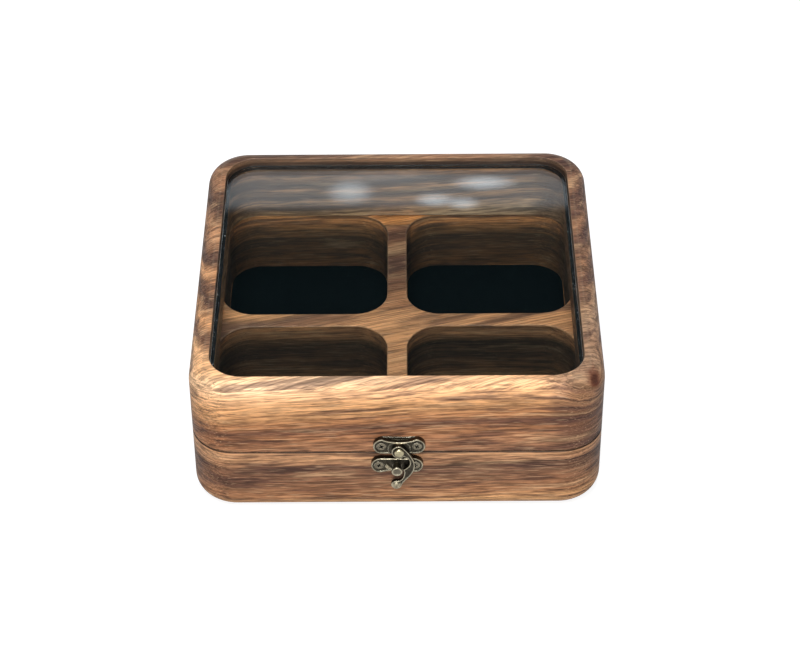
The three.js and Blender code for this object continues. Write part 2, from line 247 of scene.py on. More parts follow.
def carve(solid: BMesh, tool: BMesh, how: Cut) -> BMesh:
    """Works one solid on another. Both are used up.

    Args:
        solid: what is kept.
        tool: what cuts it or joins it.
        how: the kind of cut.

    Returns:
        The new solid.
    """
    stand_ins = []
    for name, bm in (("carved", solid), ("carver", tool)):
        mesh = bpy.data.meshes.new(name)
        bm.to_mesh(mesh)
        bm.free()
        stand_in = bpy.data.objects.new(name, mesh)
        bpy.context.scene.collection.objects.link(stand_in)
        stand_ins.append(stand_in)
    carved, carver = stand_ins
    modifier = carved.modifiers.new("cut", "BOOLEAN")
    modifier.operation = how.value
    modifier.object = carver
    modifier.solver = "EXACT"
    depsgraph = bpy.context.evaluated_depsgraph_get()
    result = bmesh.new()
    result.from_object(carved, depsgraph)
    for stand_in in stand_ins:
        mesh = stand_in.data
        bpy.data.objects.remove(stand_in)
        bpy.data.meshes.remove(mesh)
    bmesh.ops.remove_doubles(result, verts=result.verts, dist=WELD)
    return result


@dataclass
class Outline:
    """A closed flat outline of arcs and curves, in millimetres."""

    points: list[list[Vector]] = field(default_factory=list)

    def _add(self, point: Vector, handle: Vector) -> None:
        """Adds a point, whose handles both lie on it unless one is given ahead of it.

        Args:
            point: the new point.
            handle: the handle ahead of it.
        """
        if self.points and (self.points[-1][1] - point).length < WELD:
            self.points[-1][2] = handle
        else:
            self.points.append([point.copy(), point.copy(), handle])

    def arc(self, centre: Vector, radius: float, start: float, end: float) -> "Outline":
        """Runs on along an arc.

        Args:
            centre: of the arc.
            radius: of the arc.
            start: the angle it starts at, in radians.
            end: the angle it ends at.

        Returns:
            The outline itself.
        """
        pieces = max(1, math.ceil(abs(end - start) / (math.pi / 2) - WELD))
        swing = (end - start) / pieces
        reach = 4 / 3 * math.tan(swing / 4) * radius
        for number in range(pieces):
            here, there = start + number * swing, start + (number + 1) * swing
            out = [Vector((math.cos(a), math.sin(a))) for a in (here, there)]
            along = [Vector((-v.y, v.x)) for v in out]
            first, last = centre + out[0] * radius, centre + out[1] * radius
            self._add(first, first + along[0] * reach)
            self.points.append([last - along[1] * reach, last, last.copy()])
        return self

    def curve(self, first: Vector, second: Vector, end: Vector) -> "Outline":
        """Runs on along a curve with two handles to its end.

        Args:
            first: the handle it leaves by.
            second: the handle it arrives by.
            end: where it ends.

        Returns:
            The outline itself.
        """
        self.points[-1][2] = Vector(first)
        self.points.append([Vector(second), Vector(end), Vector(end)])
        return self

    def line(self, end: Vector, bow: float = 0.0) -> "Outline":
        """Runs straight on to a point, or with its middle bowed up or down a little.

        Args:
            end: where it ends.
            bow: how far its middle is bowed, up if above zero.

        Returns:
            The outline itself.
        """
        end, lift = Vector(end), Vector((0, bow))
        if not self.points:
            self.points.append([end.copy(), end.copy(), end.copy()])
            return self
        here = self.points[-1][1]
        return self.curve(here.lerp(end, 1 / 3) + lift, here.lerp(end, 2 / 3) + lift, end)


def plate(outline: Outline, low: float, high: float, arris: float, inset: float = 0.0) -> BMesh:
    """A plate of even thickness, with every edge rounded.

    Args:
        outline: its shape.
        low: the height of its back.
        high: the height of its face.
        arris: the radius of the rounded edges.
        inset: how far it stays inside the outline.

    Returns:
        The closed solid.
    """
    curve = bpy.data.curves.new("plate", "CURVE")
    curve.dimensions = "2D"
    curve.fill_mode = "BOTH"
    curve.resolution_u = 10
    curve.extrude = (high - low) / 2 - arris
    curve.bevel_depth = arris
    curve.bevel_resolution = 2
    curve.offset = -arris - inset
    points = outline.points
    if (points[0][1] - points[-1][1]).length < WELD:
        points[0][0] = points[-1][0]
        points = points[:-1]
    spline = curve.splines.new("BEZIER")
    spline.bezier_points.add(len(points) - 1)
    spline.use_cyclic_u = True
    for bezier, (left, here, right) in zip(spline.bezier_points, points):
        bezier.handle_left_type = bezier.handle_right_type = "FREE"
        bezier.handle_left = (*left, 0)
        bezier.co = (*here, 0)
        bezier.handle_right = (*right, 0)
    stand_in = bpy.data.objects.new("plate", curve)
    bpy.context.scene.collection.objects.link(stand_in)
    shaped = stand_in.evaluated_get(bpy.context.evaluated_depsgraph_get())
    bm = bmesh.new()
    bm.from_mesh(shaped.to_mesh())
    shaped.to_mesh_clear()
    bpy.data.objects.remove(stand_in)
    bpy.data.curves.remove(curve)
    return moved(cleaned(bm), Matrix.Translation((0, 0, (low + high) / 2)))


def stub(radius: float, centre: Vector, low: float, high: float) -> BMesh:
    """A round bar standing on the drawing plane.

    Args:
        radius: of the bar.
        centre: its place on the plane.
        low: the height of its foot.
        high: the height of its top.

    Returns:
        The closed solid.
    """
    bm = turned([(0, low), (radius, low), (radius, high), (0, high)])
    return moved(bm, Matrix.Translation((*centre, 0)))


# ---- Finishing a piece ---------------------------------------------------------------
@dataclass(frozen=True)
class Label:
    """What a finished piece is, and what it belongs to."""

    name: str
    body: str
    slot: str
    stands_for: str


def finish_piece(bm: BMesh, label: Label, material: bpy.types.Material) -> bpy.types.Object:
    """Turns a mesh drawn in millimetres into a piece of the case.

    Args:
        bm: the mesh, which is used up.
        label: the piece's name, body, slot and frame node.
        material: its finish.

    Returns:
        The piece's object, at the origin and unscaled.
    """
    moved(bm, Matrix.Diagonal((MM, MM, MM, 1)))
    mesh = bpy.data.meshes.new(label.name)
    bm.to_mesh(mesh)
    bm.free()
    mesh.shade_smooth()
    mesh.set_sharp_from_angle(angle=SHARP)
    mesh.materials.append(material)
    piece = bpy.data.objects.new(label.name, mesh)
    bpy.context.scene.collection.objects.link(piece)
    normals = piece.modifiers.new("flat faces stay flat", "WEIGHTED_NORMAL")
    normals.keep_sharp = True
    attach(piece, label.body)
    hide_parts(label.stands_for)
    LOG.info("%s: %d faces on %s", label.name, len(mesh.polygons), label.body)
    return piece


# ---- Shader building -----------------------------------------------------------------
Socket = bpy.types.NodeSocket
Sockets = bpy.types.bpy_prop_collection
Value = float | Socket
Colour = tuple[float, float, float, float]
Tone = tuple[int, int, int]  # a display colour, 0 to 255


def paint(red: int, green: int, blue: int) -> Colour:
    """A display colour, 0 to 255, as the linear colour that a shader takes.

    Args:
        red: 0 to 255, as are the others.
        green: the green part.
        blue: the blue part.

    Returns:
        The linear colour.
    """
    share = [c / 255 for c in (red, green, blue)]
    linear = [c / 12.92 if c <= 0.04045 else ((c + 0.055) / 1.055) ** 2.4 for c in share]
    return (*linear, 1.0)


class Graph:
    """Adds nodes to one tree and joins them up."""

    def __init__(self, tree: bpy.types.NodeTree) -> None:
        """Starts on an empty tree."""
        self.tree = tree
        tree.nodes.clear()

    def node(self, kind: str, inputs: dict | None = None, **settings: object) -> bpy.types.Node:
        """Adds a node.

        Args:
            kind: the node's type, without its ShaderNode prefix.
            inputs: by name or number, what each input is set or joined to.
            settings: the node's own settings.

        Returns:
            The new node.
        """
        made = self.tree.nodes.new(kind if kind.startswith("NodeGroup") else "ShaderNode" + kind)
        for name, value in settings.items():
            setattr(made, name, value)
        for key, value in (inputs or {}).items():
            if isinstance(value, Socket):
                self.tree.links.new(value, made.inputs[key])
            else:
                made.inputs[key].default_value = value
        return made

    def math(self, how: str, *values: Value, clamp: bool = False) -> Socket:
        """One arithmetic step."""
        made = self.node("Math", dict(enumerate(values)), operation=how, use_clamp=clamp)
        return made.outputs[0]

    def mix(self, share: Value, first: Value | Colour, second: Value | Colour,
            how: str = "MIX") -> Socket:
        """Mixes two colours.

        Args:
            share: how much of the second there is.
            first: the colour underneath.
            second: the colour on top.
            how: the blend.

        Returns:
            The mixed colour.
        """
        made = self.node("Mix", data_type="RGBA", blend_type=how, clamp_factor=True)
        for index, value in ((0, share), (6, first), (7, second)):
            if isinstance(value, Socket):
                self.tree.links.new(value, made.inputs[index])
            else:
                made.inputs[index].default_value = value
        return made.outputs[2]

    def spread(self, value: Value, low: float, high: float, to_low: float = 0.0,
               to_high: float = 1.0) -> Socket:
        """Maps a range smoothly onto another.

        Args:
            value: what is mapped.
            low: the value that gives to_low.
            high: the value that gives to_high.
            to_low: the result at low.
            to_high: the result at high.

        Returns:
            The mapped value.
        """
        made = self.node(
            "MapRange",
            {0: value, 1: low, 2: high, 3: to_low, 4: to_high},
            interpolation_type="SMOOTHSTEP",
        )
        return made.outputs[0]

    def ramp(self, value: Value, stops: list[tuple[float, Colour]], hard: bool = False) -> Socket:
        """Reads a colour off a scale.

        Args:
            value: the place on the scale, 0 to 1.
            stops: places with their colours.
            hard: whether a colour holds until the next stop.

        Returns:
            The colour.
        """
        made = self.node("ValToRGB", {0: value})
        scale = made.color_ramp
        scale.interpolation = "CONSTANT" if hard else "EASE"
        while len(scale.elements) < len(stops):
            scale.elements.new(0.5)
        for element, (place, colour) in zip(scale.elements, stops):
            element.position, element.color = place, colour
        return made.outputs[0]

    def place(self, vector: Socket, scale: tuple[float, float, float],
              turn: tuple[float, float, float] = (0, 0, 0),
              shift: tuple[float, float, float] = (0, 0, 0)) -> Socket:
        """Stretches, turns and shifts a pattern's coordinates.

        Args:
            vector: the coordinates.
            scale: how much each part is stretched.
            turn: the turn about each axis, in radians.
            shift: what is added afterwards.

        Returns:
            The new coordinates.
        """
        made = self.node(
            "Mapping", {"Vector": vector, "Scale": scale, "Rotation": turn, "Location": shift}
        )
        return made.outputs[0]

    def noise(self, vector: Socket, detail: float = 3.0, rough: float = 0.5,
              seed: Value | None = None) -> Socket:
        """Cloudy noise about one unit across, centred on a half.

        Args:
            vector: the coordinates.
            detail: how many finer layers there are.
            rough: how strong the finer layers are.
            seed: what sets one pattern apart from another.

        Returns:
            The noise, 0 to 1.
        """
        wanted = {"Vector": vector, "Scale": 1.0, "Detail": detail, "Roughness": rough}
        if seed is not None:
            wanted["W"] = seed
        kind = "3D" if seed is None else "4D"
        return self.node("TexNoise", wanted, noise_dimensions=kind).outputs[0]

    def split(self, vector: Socket) -> tuple[Socket, Socket, Socket]:
        """A vector's three parts."""
        parts = self.node("SeparateXYZ", {0: vector}).outputs
        return parts[0], parts[1], parts[2]

    def join(self, x: Value, y: Value, z: Value) -> Socket:
        """A vector from its three parts."""
        return self.node("CombineXYZ", {0: x, 1: y, 2: z}).outputs[0]

    def where(self) -> Socket:
        """The place on the piece, in millimetres."""
        coordinates = self.node("TexCoord").outputs["Object"]
        return self.place(coordinates, (1 / MM,) * 3)

    def bump(self, height: Socket, strength: float, distance: float,
             normal: Socket | None = None) -> Socket:
        """A normal bent by a height.

        Args:
            height: the height, 0 to 1.
            strength: how much of it shows.
            distance: what a height of 1 stands for, in millimetres.
            normal: a normal to bend further.

        Returns:
            The bent normal.
        """
        wanted = {"Height": height, "Strength": strength, "Distance": distance * MM}
        if normal is not None:
            wanted["Normal"] = normal
        return self.node("Bump", wanted).outputs[0]

    def finish(self, shader: Socket) -> None:
        """Shows a shader as the material's surface."""
        output = self.node("OutputMaterial")
        self.tree.links.new(shader, output.inputs["Surface"])


class Effect:
    """A node group with named inputs and outputs, built once and placed in many materials."""

    def __init__(self, name: str, inputs: dict[str, tuple[str, object]],
                 outputs: dict[str, str]) -> None:
        """Makes the group's sockets.

        Args:
            name: the group's name.
            inputs: each input's type and value at the start.
            outputs: each output's type.
        """
        self.tree = bpy.data.node_groups.new(name, "ShaderNodeTree")
        for key, (kind, value) in inputs.items():
            socket = self.tree.interface.new_socket(
                key, in_out="INPUT", socket_type="NodeSocket" + kind
            )
            if kind != "Vector":
                socket.default_value = value
        for key, kind in outputs.items():
            self.tree.interface.new_socket(
                key, in_out="OUTPUT", socket_type="NodeSocket" + kind
            )
        self.graph = Graph(self.tree)
        self.inputs = self.graph.node("NodeGroupInput").outputs
        self.result = self.graph.node("NodeGroupOutput").inputs

    def give(self, **values: Socket) -> None:
        """Joins the group's outputs, whose spaces are written as underscores."""
        for key, socket in values.items():
            self.tree.links.new(socket, self.result[key.replace("_", " ")])

    def put(self, graph: Graph, **values: object) -> Sockets:
        """Places the group in a graph.

        Args:
            graph: where it goes.
            values: its inputs, whose spaces are written as underscores.

        Returns:
            The placed group's outputs.
        """
        wanted = {key.replace("_", " "): value for key, value in values.items()}
        made = graph.tree.nodes.new("ShaderNodeGroup")
        made.node_tree = self.tree
        for key, value in wanted.items():
            if isinstance(value, Socket):
                graph.tree.links.new(value, made.inputs[key])
            else:
                made.inputs[key].default_value = value
        return made.outputs


def timber_effect() -> Effect:
    """Walnut's layers: how far up through the layers a point is, and which board it is in.

    Returns:
        The effect.
    """
    effect = Effect(
        "timber layers",
        {
            "Place": ("Vector", None), "Rise": ("Float", 0.05), "Dip": ("Float", 0.03),
            "Wander": ("Float", 6.0), "Seed": ("Float", 0.0), "Joint A": ("Float", 86.0),
            "Joint B": ("Float", 9.0), "Joint C": ("Float", -49.0),
        },
        {"Layer": "Float", "Board": "Float", "Glue": "Float", "Along": "Vector"},
    )
    g, inside = effect.graph, effect.inputs
    x, y, z = g.split(inside["Place"])
    joints = [inside[f"Joint {letter}"] for letter in "ABC"]
    past = [g.math("GREATER_THAN", y, joint) for joint in joints]
    board = g.math("ADD", g.math("ADD", past[0], past[1]), past[2])
    near = [g.math("ABSOLUTE", g.math("SUBTRACT", y, joint)) for joint in joints]
    closest = g.math("MINIMUM", g.math("MINIMUM", near[0], near[1]), near[2])
    seed = g.math("ADD", inside["Seed"], g.math("MULTIPLY", board, 7.3))
    slow = g.noise(g.place(inside["Place"], (0.009, 0.02, 0.02)), 2.0, 0.45, seed)
    quick = g.noise(g.place(inside["Place"], (0.03, 0.06, 0.09)), 2.0, 0.5, seed)
    slow = g.math("MULTIPLY", g.math("SUBTRACT", slow, 0.5), inside["Wander"])
    quick = g.math("MULTIPLY", g.math("SUBTRACT", quick, 0.5), inside["Wander"])
    layer = g.math("SUBTRACT", z, g.math("MULTIPLY", x, inside["Rise"]))
    layer = g.math("ADD", layer, g.math("MULTIPLY", y, inside["Dip"]))
    layer = g.math("ADD", layer, g.math("MULTIPLY", slow, 3.0))
    layer = g.math("ADD", layer, g.math("MULTIPLY", quick, 0.9))
    effect.give(
        Layer=layer, Board=board, Glue=g.spread(closest, 0.1, 0.35, 1.0, 0.0),
        Along=g.join(x, y, layer),
    )
    return effect


def grain_effect() -> Effect:
    """Dark streaks, fine fibres and open pores that follow the layers.

    Returns:
        The effect.
    """
    effect = Effect(
        "wood grain",
        {"Along": ("Vector", None), "Place": ("Vector", None), "Seed": ("Float", 0.0)},
        {
            "Streak": "Float", "Sheen": "Float", "Thread": "Float", "Fibre": "Float",
            "Pore": "Float", "Glint": "Float",
        },
    )
    g, inside = effect.graph, effect.inputs
    along, place, seed = inside["Along"], inside["Place"], inside["Seed"]
    x, y, layer = g.split(along)
    slant = g.join(x, g.math("ADD", y, g.math("MULTIPLY", x, -0.3)), layer)
    broad = g.noise(g.place(slant, (0.008, 0.07, 0.24)), 5.0, 0.58, seed)
    thread = g.noise(g.place(slant, (0.01, 0.3, 0.7)), 3.0, 0.6, seed)
    level = g.math("ABSOLUTE", g.split(g.node("TexCoord").outputs["Normal"])[2])
    level = g.spread(level, 0.6, 0.76)
    upright = g.noise(g.place(slant, (0.014, 0.12, 1.3)), 3.0, 0.6, seed)
    flat = g.noise(g.place(slant, (0.016, 1.3, 0.3)), 3.0, 0.6, seed)
    fibre = g.math("ADD", upright, g.math("MULTIPLY", level, g.math("SUBTRACT", flat, upright)))
    pores = g.noise(g.place(place, (0.08, 1.9, 1.9)), 1.0, 0.5, seed)
    effect.give(
        Streak=g.spread(broad, 0.51, 0.61), Sheen=g.spread(broad, 0.46, 0.34),
        Thread=g.spread(thread, 0.36, 0.66), Fibre=g.spread(fibre, 0.4, 0.62),
        Pore=g.spread(pores, 0.6, 0.68), Glint=g.spread(pores, 0.4, 0.32),
    )
    return effect


def wear_effect() -> Effect:
    """Where edges have been rubbed: the difference between the true and a rounded normal.

    Returns:
        The effect.
    """
    effect = Effect(
        "edge wear",
        {"Place": ("Vector", None), "Width": ("Float", 0.0004), "Breakup": ("Float", 0.5)},
        {"Wear": "Float"},
    )
    g, inside = effect.graph, effect.inputs
    rounded = g.node("Bevel", {"Radius": inside["Width"]}, samples=4).outputs[0]
    true = g.node("NewGeometry").outputs["Normal"]
    agree = g.node("VectorMath", {0: rounded, 1: true}, operation="DOT_PRODUCT").outputs["Value"]
    edge = g.spread(agree, 0.995, 0.9)
    patchy = g.noise(g.place(inside["Place"], (1.1, 1.1, 1.1)), 3.0, 0.6)
    patchy = g.spread(patchy, 0.35, 0.65)
    keep = g.math("MULTIPLY", inside["Breakup"], patchy)
    keep = g.math("ADD", keep, g.math("SUBTRACT", 1.0, inside["Breakup"]))
    effect.give(Wear=g.math("MULTIPLY", edge, keep, clamp=True))
    return effect


def mottle_effect() -> Effect:
    """Cast metal's uneven skin: broad tarnish, small pits and a height that follows them.

    Returns:
        The effect.
    """
    effect = Effect(
        "metal mottle",
        {"Place": ("Vector", None), "Size": ("Float", 1.0)},
        {"Tarnish": "Float", "Pits": "Float", "Height": "Float"},
    )
    g, inside = effect.graph, effect.inputs
    scaled = g.node(
        "VectorMath", {0: inside["Place"], "Scale": inside["Size"]}, operation="SCALE"
    ).outputs[0]
    tarnish = g.noise(g.place(scaled, (0.55, 0.55, 0.55)), 4.0, 0.62)
    pits = g.noise(g.place(scaled, (3.2, 3.2, 3.2)), 2.0, 0.6)
    height = g.math("ADD", g.math("MULTIPLY", tarnish, 0.4), g.math("MULTIPLY", pits, 0.6))
    effect.give(
        Tarnish=g.spread(tarnish, 0.38, 0.62), Pits=g.spread(pits, 0.55, 0.68), Height=height
    )
    return effect


class Effects:
    """Every shared effect, each made when it is first asked for."""

    makers = {
        "timber": timber_effect, "grain": grain_effect, "wear": wear_effect,
        "mottle": mottle_effect,
    }
    made: dict[str, Effect] = {}

    @classmethod
    def get(cls, name: str) -> Effect:
        """The effect of that name.

        Args:
            name: the effect's name.

        Returns:
            The effect.
        """
        if name not in cls.made:
            cls.made[name] = cls.makers[name]()
        return cls.made[name]


def new_material(name: str) -> tuple[bpy.types.Material, Graph]:
    """An empty material and the graph that fills it.

    Args:
        name: the material's name.

    Returns:
        The material and its graph.
    """
    material = bpy.data.materials.new(name)
    material.use_nodes = True
    return material, Graph(material.node_tree)


# ---- Finishes ------------------------------------------------------------------------
@dataclass(frozen=True)
class Walnut:
    """Oiled walnut, cut from boards whose layers lie nearly level."""

    name: str
    foot: float  # height of the first colour band, mm
    crown: float  # height of the last one
    bands: tuple[tuple[float, Tone], ...]
    seed: float
    rise: float  # how fast the layers rise to the right
    dip: float  # how fast they fall towards the back
    wander: float = 1.6
    joints: tuple[float, float, float] = (86.0, 9.0, -49.0)
    board_tints: tuple[Tone, ...] = (
        (255, 255, 255), (255, 240, 226), (222, 205, 205), (255, 222, 180),
    )
    shade: float = 0.0  # how far painted shade darkens its inner walls, below shade_top
    shade_top: float = 36.0
    wall_greying: float = 0.0  # how far the inner walls are mixed towards a pale grey
    rebate: float = 0.0  # how dark the painted shadow, partly grime, is on the wall above the glass
    heart_and_shade: float | None = None  # where the darker heartwood, with painted shade on the right side, starts along X, mm
    knot: tuple[float, float, float] | None = None
    knot_size: float = 11.0
    figure_tone: Tone = (150, 94, 60)
    heart_and_shade_tone: Tone = (100, 68, 54)
    sheen_tone: Tone = (224, 180, 136)
    streak_tone: Tone = (78, 50, 42)
    glint_tone: Tone = (232, 188, 146)
    pore_tone: Tone = (52, 30, 22)
    glue_tone: Tone = (60, 38, 28)
    # painted shade in the saw-cut gap, with some oil darkening
    seam_shade_and_oil_tone: Tone = (30, 20, 16)
    wall_grey_tone: Tone = (156, 136, 114)
    shade_tint: Tone = (166, 178, 188)
    rebate_shadow_and_grime_tone: Tone = (22, 16, 14)
    knot_tone: Tone = (96, 42, 28)
    knot_eye_tone: Tone = (52, 26, 22)

    def material(self) -> bpy.types.Material:
        """Builds the finish.

        Returns:
            The material.
        """
        material, g = new_material(self.name)
        place = g.where()
        if self.knot:
            place, knot = self._round_knot(g, place)
        timber = Effects.get("timber").put(
            g, Place=place, Rise=self.rise, Dip=self.dip, Wander=self.wander, Seed=self.seed,
            Joint_A=self.joints[0], Joint_B=self.joints[1], Joint_C=self.joints[2],
        )
        grain = Effects.get("grain").put(
            g, Along=timber["Along"], Place=place, Seed=self.seed
        )
        colour = self._boards(g, place, timber)
        colour = self._fibres(g, colour, timber, grain)
        colour = self._walls(g, colour, place)
        if self.knot:
            colour = g.mix(g.spread(knot, 0.75, 0.2, 0, 0.8), colour, paint(*self.knot_tone))
            eye = g.spread(knot, 0.35, 0.1, 0, 0.7)
            colour = g.mix(eye, colour, paint(*self.knot_eye_tone))
        rough = g.spread(grain["Fibre"], 0.0, 1.0, 0.42, 0.58)
        height = g.math("SUBTRACT", grain["Fibre"], g.math("MULTIPLY", grain["Pore"], 0.8))
        surface = g.node("BsdfPrincipled", {
            "Base Color": colour, "Roughness": rough, "Specular IOR Level": 0.26,
            "Normal": g.bump(height, 0.35, 0.12),
        })
        g.finish(surface.outputs[0])
        return material

    def _boards(self, g: Graph, place: Socket, timber: Sockets) -> Socket:
        """Colours the layers, board by board, with the darker heartwood and painted shade on the
        right side.

        Args:
            g: the material's graph.
            place: the place on the piece.
            timber: the layers' outputs.

        Returns:
            The colour.
        """
        span = self.crown - self.foot
        level = g.math("DIVIDE", g.math("SUBTRACT", timber["Layer"], self.foot), span, clamp=True)
        stops = [((height - self.foot) / span, paint(*tone)) for height, tone in self.bands]
        colour = g.ramp(level, stops)
        number = len(self.board_tints)
        tints = [(index / number, paint(*tone)) for index, tone in enumerate(self.board_tints)]
        board = g.math("ADD", g.math("DIVIDE", timber["Board"], number), 0.1)
        colour = g.mix(1.0, colour, g.ramp(board, tints, hard=True), "MULTIPLY")
        figure = g.noise(g.place(place, (0.02, 0.035, 0.05)), 3.0, 0.55, self.seed + 3)
        colour = g.mix(g.spread(figure, 0.45, 0.75, 0, 0.3), colour, paint(*self.figure_tone))
        # Darker heartwood, with painted shade, towards the right side.
        if self.heart_and_shade:
            side = g.math("ADD", g.split(place)[0], g.math("MULTIPLY", figure, 40.0))
            side = g.spread(side, self.heart_and_shade + 12, self.heart_and_shade + 28, 0, 0.68)
            colour = g.mix(side, colour, paint(*self.heart_and_shade_tone))
        return colour

    def _fibres(self, g: Graph, colour: Socket, timber: Sockets, grain: Sockets) -> Socket:
        """Lays streaks, fibres, pores and glue lines over the layers.

        Args:
            g: the material's graph.
            colour: the layers' colour.
            timber: the layers' outputs.
            grain: the grain's outputs.

        Returns:
            The colour.
        """
        tones = (
            ("Sheen", 0.4, self.sheen_tone), ("Streak", 0.68, self.streak_tone),
            ("Glint", 0.35, self.glint_tone), ("Pore", 0.6, self.pore_tone),
        )
        for name, share, tone in tones[:2]:
            colour = g.mix(g.math("MULTIPLY", grain[name], share), colour, paint(*tone))
        thread = g.spread(grain["Thread"], 0.0, 1.0, 1.16, 0.74)
        fibre = g.spread(grain["Fibre"], 0.0, 1.0, 1.24, 0.64)
        shade = g.math("MULTIPLY", thread, fibre)
        colour = g.mix(1.0, colour, g.join(shade, shade, shade), "MULTIPLY")
        for name, share, tone in tones[2:]:
            colour = g.mix(g.math("MULTIPLY", grain[name], share), colour, paint(*tone))
        return g.mix(g.math("MULTIPLY", timber["Glue"], 0.35), colour, paint(*self.glue_tone))

    def _walls(self, g: Graph, colour: Socket, place: Socket) -> Socket:
        """Paints shade into the saw cut, with some oil darkening, greys the inner walls, paints
        shade lower down on them, and paints a shadow, partly grime, on the rebate above the glass.

        Args:
            g: the material's graph.
            colour: the wood's colour.
            place: the place on the piece.

        Returns:
            The colour.
        """
        x, y, z = g.split(place)
        reach = g.math("MAXIMUM", g.math("ABSOLUTE", x), g.math("ABSOLUTE", y))
        outside = g.spread(reach, 97.0, 98.0)
        upright = g.math("ABSOLUTE", g.split(g.node("TexCoord").outputs["Normal"])[2])
        wall = g.spread(upright, 0.995, 0.97)
        # Painted shade in the gap of the saw cut, with some oil darkening, on the outer walls.
        off = g.math("ABSOLUTE", g.math("SUBTRACT", z, SEAM_HEIGHT))
        seam = g.math("MULTIPLY", g.spread(off, 1.0, 0.35, 0, 0.92), outside)
        colour = g.mix(g.math("MULTIPLY", seam, wall), colour, paint(*self.seam_shade_and_oil_tone))
        inside = g.math("MULTIPLY", g.math("SUBTRACT", 1.0, outside), wall)
        # The inner walls mixed towards a pale grey.
        colour = g.mix(g.math("MULTIPLY", inside, self.wall_greying), colour, paint(*self.wall_grey_tone))
        # Painted shade, with a cool tint, deeper down the inner walls of the pockets and the
        # hollow.
        inside = g.math("MULTIPLY", inside, g.spread(z, self.shade_top, self.shade_top - 7))
        inside = g.math("MULTIPLY", inside, self.shade)
        colour = g.mix(inside, colour, paint(*self.shade_tint), "MULTIPLY")
        # Painted shadow, partly grime, on the wall above the glass, darkest at its foot by the
        # pane.
        rebate = g.math("MULTIPLY", g.spread(reach, 95.3, 94.9), g.spread(upright, 0.8, 0.3))
        rebate = g.math("MULTIPLY", rebate, g.spread(z, 80.4, 78.4, 0.25, self.rebate))
        rebate = g.math("MULTIPLY", rebate, g.spread(z, 76.0, 77.0))
        return g.mix(rebate, colour, paint(*self.rebate_shadow_and_grime_tone))

    def _round_knot(self, g: Graph, place: Socket) -> tuple[Socket, Socket]:
        """Makes the layers swell round a knot.

        Args:
            g: the material's graph.
            place: the place on the piece.

        Returns:
            The bent place, and how far it is from the knot, in knot sizes.
        """
        back = tuple(-c / self.knot_size for c in self.knot)
        local = g.place(place, (1 / self.knot_size,) * 3, shift=back)
        rough = g.noise(g.place(place, (0.12, 0.12, 0.12)), 3.0, 0.6)
        far = g.node("VectorMath", {0: local}, operation="LENGTH").outputs["Value"]
        far = g.math("ADD", far, g.math("MULTIPLY", g.math("SUBTRACT", rough, 0.5), 0.9))
        x, y, z = g.split(place)
        swell = g.spread(far, 2.4, 0.0, 0, 9.0)
        return g.join(x, y, g.math("ADD", z, swell)), far


@dataclass(frozen=True)
class Felt:
    """Dense near-black wool felt with a teal cast and a few specks of lint."""

    name: str = "felt lining"
    pile: Tone = (1, 4, 6)
    worn: Tone = (4, 11, 13)
    lint: Tone = (120, 140, 146)

    def material(self) -> bpy.types.Material:
        """Builds the finish.

        Returns:
            The material.
        """
        material, g = new_material(self.name)
        place = g.where()
        tangle = g.noise(g.place(place, (2.6, 2.6, 2.6)), 4.0, 0.7)
        broad = g.noise(g.place(place, (0.06, 0.06, 0.06)), 3.0, 0.5)
        strands = g.noise(g.place(place, (6.0, 1.2, 4.0), (0, 0, 0.6)), 2.0, 0.6)
        colour = g.mix(g.spread(tangle, 0.4, 0.72), paint(*self.pile), paint(*self.worn))
        colour = g.mix(g.spread(broad, 0.4, 0.7, 0, 0.35), colour, paint(*self.worn))
        cells = g.node(
            "TexVoronoi", {"Vector": g.place(place, (0.13, 0.13, 0.13)), "Scale": 1.0}
        ).outputs["Distance"]
        speck = g.math("MULTIPLY", g.spread(cells, 0.045, 0.02), g.spread(strands, 0.5, 0.6))
        colour = g.mix(g.math("MULTIPLY", speck, 0.8), colour, paint(*self.lint))
        height = g.math("ADD", tangle, g.math("MULTIPLY", strands, 0.6))
        surface = g.node("BsdfPrincipled", {
            "Base Color": colour, "Roughness": 0.95, "Specular IOR Level": 0.05,
            "Sheen Weight": 0.03, "Sheen Roughness": 0.5, "Sheen Tint": paint(90, 120, 130),
            "Normal": g.bump(height, 0.8, 0.25),
        })
        g.finish(surface.outputs[0])
        return material


@dataclass(frozen=True)
class ClearGlass:
    """Float glass, with faint finger marks that only show in its gloss."""

    name: str = "clear glass"
    tint: Tone = (240, 246, 245)

    def material(self) -> bpy.types.Material:
        """Builds the finish.

        Returns:
            The material.
        """
        material, g = new_material(self.name)
        smears = g.noise(g.place(g.where(), (0.03, 0.05, 0.03), (0, 0, 0.5)), 4.0, 0.6)
        surface = g.node("BsdfPrincipled", {
            "Base Color": paint(*self.tint), "Metallic": 0.0, "Transmission Weight": 1.0,
            "IOR": 1.5, "Roughness": g.spread(smears, 0.5, 0.8, 0.0, 0.045),
        })
        clear = g.node("BsdfTransparent", {"Color": paint(248, 250, 250)})
        path = g.node("LightPath").outputs
        through = g.math("MAXIMUM", path["Is Shadow Ray"], path["Is Diffuse Ray"])
        both = g.node("MixShader", {0: through, 1: surface.outputs[0], 2: clear.outputs[0]})
        g.finish(both.outputs[0])
        return material


